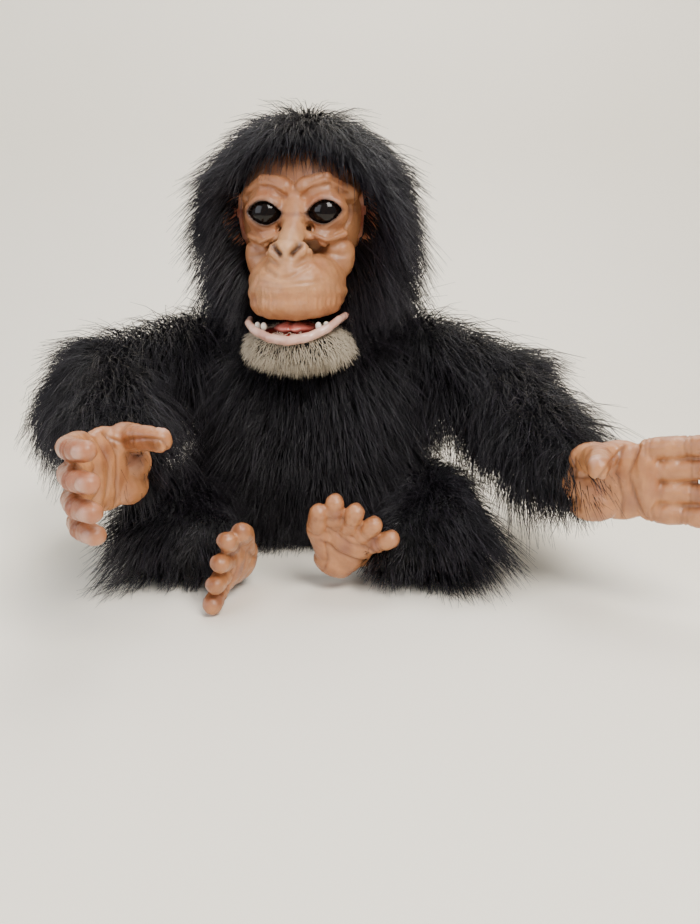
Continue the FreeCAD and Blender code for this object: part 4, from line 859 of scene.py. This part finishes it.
for name in SIDES:
    wrist, fore = joint_at(f"{name}_hand_turn"), joint_axis(f"{name}_hand_turn")
    matrix = axes(wrist, FINGERS[name], PALM_FACES[name])
    rotation = matrix.to_3x3()
    matrix.translation = Vector(wrist + fore * 12) - rotation @ Vector((4, 0, 0))
    back = np.array(rotation.inverted())
    s = 1 if (rotation @ Vector((0, 0, 1))).z > 0 else -1
    wrist_here = back @ (wrist - np.array(matrix.translation))
    fore_here = back @ fore
    clay = (ball((27, 0.5, 0), (25, 9.5, 25)) + ball((10, 0, 0), (17, 10, 20))
            + ball((14, 6, s * 15), (15, 9, 10)) + ball((12, 5, -s * 15), (15, 8, 10))
            + ball((42, 3, 0), (8, 7.5, 24))
            + bar(wrist_here - fore_here * 4, wrist_here + fore_here * 15, 11, 13))
    rings, nails = [], []
    for n, lengths in enumerate(LENGTHS):
        place, lean, radius = np.array([45.0, 0, s * (1.5 - n) * PITCH]), 0, 6.7
        fan = 0.05 * (1.5 - n) * s
        for step in lengths:
            lean += math.radians(CURL[name])
            ahead = unit([math.cos(lean), math.sin(lean), fan])
            end = place + ahead * step
            pad = (step * 0.42, radius - 0.4, radius + 0.15)
            clay += bar(place, end, radius, radius - 0.35) + ball((place + end) / 2 + [0, 1.0, 0], pad)
            rings += [(place + ahead * 1.5, ahead, radius + 1), (place - ahead * 1.2, ahead, radius + 1)]
            place, radius = end, radius - 0.35
        outward = unit(np.cross(ahead, [0, 0, 1]))
        nails.append((place + ahead * 1.5 + outward * radius, outward, ahead, 4.3, 5.2))
    root = np.array([12.0, 4, s * 14])
    knuckle, tip = np.array([20.0, 20, s * 18]), np.array([23.0, 37, s * 17])
    clay += bar(root, knuckle, 9.5, 7.8) + bar(knuckle, tip, 7.8, 6.8)
    thumb = unit(tip - knuckle)
    rings += [(knuckle, thumb, 8.5), (knuckle + thumb * 2.5, thumb, 8.5)]
    outward = unit(np.cross(np.cross(thumb, [-0.4, 0, s * 1.0]), thumb))
    nails.append((tip + thumb * 2 + outward * 6.4, outward, thumb, 4.8, 5.6))
    hand = melt("hand", clay, voxel=1.1, rounds=5)
    p = hand.points
    inside = soft_step(p[:, 1], 1, 5)
    lines = sum(np.exp(-(away(p[:, [0, 2]], line) / 0.9) ** 2) for line in (
        [(40, s * 22), (34, s * 6), (38, -s * 12), (42, -s * 22)],
        [(31, s * 22), (27, s * 8), (30, -s * 8), (28, -s * 22)],
        [(30, s * 21), (20, s * 8), (10, s * 5), (2, s * 6)], [(4, s * 16), (3, 0), (5, -s * 16)]))
    cover, plate = nailed(p, nails, 0.7)
    creases = ring_creases(p, rings, 0.8, 0.75)
    depth = (creases + 1.3 * inside * lines * (p[:, 0] < 46) + plate
             + 0.2 * waves(p, 8, 81) + 0.14 * waves(p, 3.5, 82))
    tone = soft_step(hand.normals[:, 1], -0.4, 0.5)
    hand = dent(hand, depth)
    # The creases and palm lines are darkened in the tint with painted shade.
    tint = painted("a5693f", (tone * 0.7, "c38a5c"),
                   (np.clip(creases + lines * inside, 0, 1) * 0.45, "5c3520"),
                   (soft_step(p[:, 0], 62, 90) * 0.45, "a3614f"), (cover * 0.85, "c79c86"),
                   (0.35 * waves(p, 18, 83), "7f4c3d"))
    piece = written(f"{name}_hand_skin", hand, matrix, hand_vinyl, tint=tint)
    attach(piece, f"{name}_hand")
    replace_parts(piece, f"{name}_hand")

# ---- Feet
# Like hands: a broad sole, four toes and a thumb-like big toe.
HEEL = {"right": (-40, -113, 20), "left": (19, -117.5, 19.5)}
TOES = {"right": (-0.33, -0.92, 0.21), "left": (0.48, -0.22, 0.85)}
SOLE_FACES = {"right": (0.85, -0.42, -0.2), "left": (-0.12, -0.97, -0.2)}
for name, side in SIDES.items():
    matrix = axes(HEEL[name], TOES[name], SOLE_FACES[name])
    rotation = matrix.to_3x3()
    back = np.array(rotation.inverted())
    s = 1 if (rotation @ Vector((0, 0, 1))).dot(Vector((-side, 0, 0.6))) > 0 else -1
    ankle, shin = joint_at(f"{name}_foot_turn"), joint_axis(f"{name}_foot_turn")
    ankle_here, shin_here = back @ (ankle - np.array(HEEL[name])), back @ shin
    cuff_end = ankle_here + shin_here * 10
    clay = (ball((9, 0, 0), (16, 8, 16.5)) + ball((0, 0.5, 0), (9, 8, 14)) + ball((20, 1, 0), (12, 7.5, 18))
            + bar(ankle_here - shin_here * 12, cuff_end, 9, 9.5) + bar(cuff_end, (0, -2, 0), 9.5, 9))
    rings, nails = [], []
    for n, length in enumerate((17, 18, 16, 13)):
        place = np.array([26.0, 1, s * (1.5 - n) * 9.2])
        end = place + np.array([length, 4, s * (1.5 - n) * 5])
        ahead = unit(end - place)
        middle = place + ahead * length * 0.55
        clay += bar(place, end, 6.2, 5.9)
        rings += [(middle, ahead, 7), (middle + ahead * 2, ahead, 7), (place + ahead * 3, ahead, 7)]
        outward = unit(np.cross(ahead, [0, 0, 1]))
        nails.append((end + ahead * 1.5 + outward * 5.6, outward, ahead, 3.8, 4.2))
    knuckle, tip = np.array([20.0, 4, s * 22]), np.array([33.0, 8, s * 27])
    clay += bar((6, 0, s * 8), knuckle, 8, 6.8) + bar(knuckle, tip, 6.8, 6)
    ahead = unit(tip - knuckle)
    rings.append((knuckle + ahead, ahead, 8))
    nails.append((tip + ahead * 1.5 + np.array([0, -5.6, 0]), np.array([0, -1.0, 0]), ahead, 4.2, 4.6))
    foot = melt("foot", clay, voxel=1.0, rounds=4)
    p = foot.points
    inside = soft_step(p[:, 1], 1, 5)
    lines = sum(np.exp(-(away(p[:, [0, 2]], line) / 0.9) ** 2) for line in (
        [(26, s * 16), (24, 0), (27, -s * 16)], [(17, s * 17), (14, s * 3), (15, -s * 15)],
        [(16, s * 12), (6, s * 6), (-4, s * 4)]))
    cover, plate = nailed(p, nails, 0.6)
    creases = ring_creases(p, rings, 0.7, 0.6)
    depth = (creases + 1.0 * inside * lines * (p[:, 0] < 28) + plate
             + 0.2 * waves(p, 7, 91) + 0.12 * waves(p, 3, 92))
    foot = dent(foot, depth)
    turn, shift = np.array(rotation), np.array(HEEL[name], float)
    lift = 0.6 - np.minimum((foot.points @ turn.T + shift)[:, 2], 0.6)
    foot.points[:] += lift[:, None] * (back @ np.array([0, 0, 1.0]))
    # The creases and sole lines are darkened in the tint with painted shade.
    tint = painted("9e653e", (soft_step(foot.normals[:, 1], -0.3, 0.5) * 0.7, "bd8458"),
                   (np.clip(creases + lines * inside, 0, 1) * 0.4, "5b342a"), (cover * 0.85, "c39a86"),
                   (0.35 * waves(p, 15, 93), "7c4a3c"))
    piece = written(f"{name}_foot_skin", foot, matrix, hand_vinyl, tint=tint)
    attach(piece, f"{name}_foot")
    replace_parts(piece, f"{name}_foot")

# ---- Floor, backdrop and light
# A pale sweep that rises behind the toy, lit by a big soft lamp from the front left and a weaker fill.
edge = [(-1.0, 0.0), (0.35, 0.0)] + [(0.35 + 0.4 * math.sin(a), 0.4 - 0.4 * math.cos(a))
                                     for a in np.linspace(0.1, math.pi / 2, 14)] + [(0.75, 2.0)]
sweep_mesh = bpy.data.meshes.new("sweep")
sweep_mesh.from_pydata([(x, y, z) for y, z in edge for x in (-2.5, 2.5)], [],
                       [(2 * n, 2 * n + 1, 2 * n + 3, 2 * n + 2) for n in range(len(edge) - 1)])
sweep_mesh.polygons.foreach_set("use_smooth", [True] * len(sweep_mesh.polygons))
sweep_mesh.materials.append(finish("pale paper sweep", "f1e9d8", "f8f2e4", scale=3, rough=(0.7, 0.85),
                                   bump=0.05))
linked("sweep", sweep_mesh)


def lamp(name, place, aim, size, power, tone):
    data = bpy.data.lights.new(name, "AREA")
    data.size, data.energy, data.color = size, power, colour(tone)[:3]
    made = bpy.data.objects.new(name, data)
    made.location = place
    made.rotation_euler = (Vector(aim) - Vector(place)).to_track_quat("-Z", "Y").to_euler()
    bpy.context.scene.collection.objects.link(made)


lamp("key", (0.5, -0.9, 1.2), (0, 0, 0.15), 0.6, 26, "fffaf4")
lamp("fill", (-1.0, -0.7, 0.7), (0, 0, 0.15), 0.9, 9, "eef4ff")
lamp("top", (0.1, 0.3, 1.4), (0, 0, 0.1), 0.8, 14, "ffffff")
world = bpy.data.worlds.new("soft room")
world.use_nodes = True
world.node_tree.nodes["Background"].inputs[0].default_value = colour("e8eaee")
world.node_tree.nodes["Background"].inputs[1].default_value = 0.58
bpy.context.scene.world = world
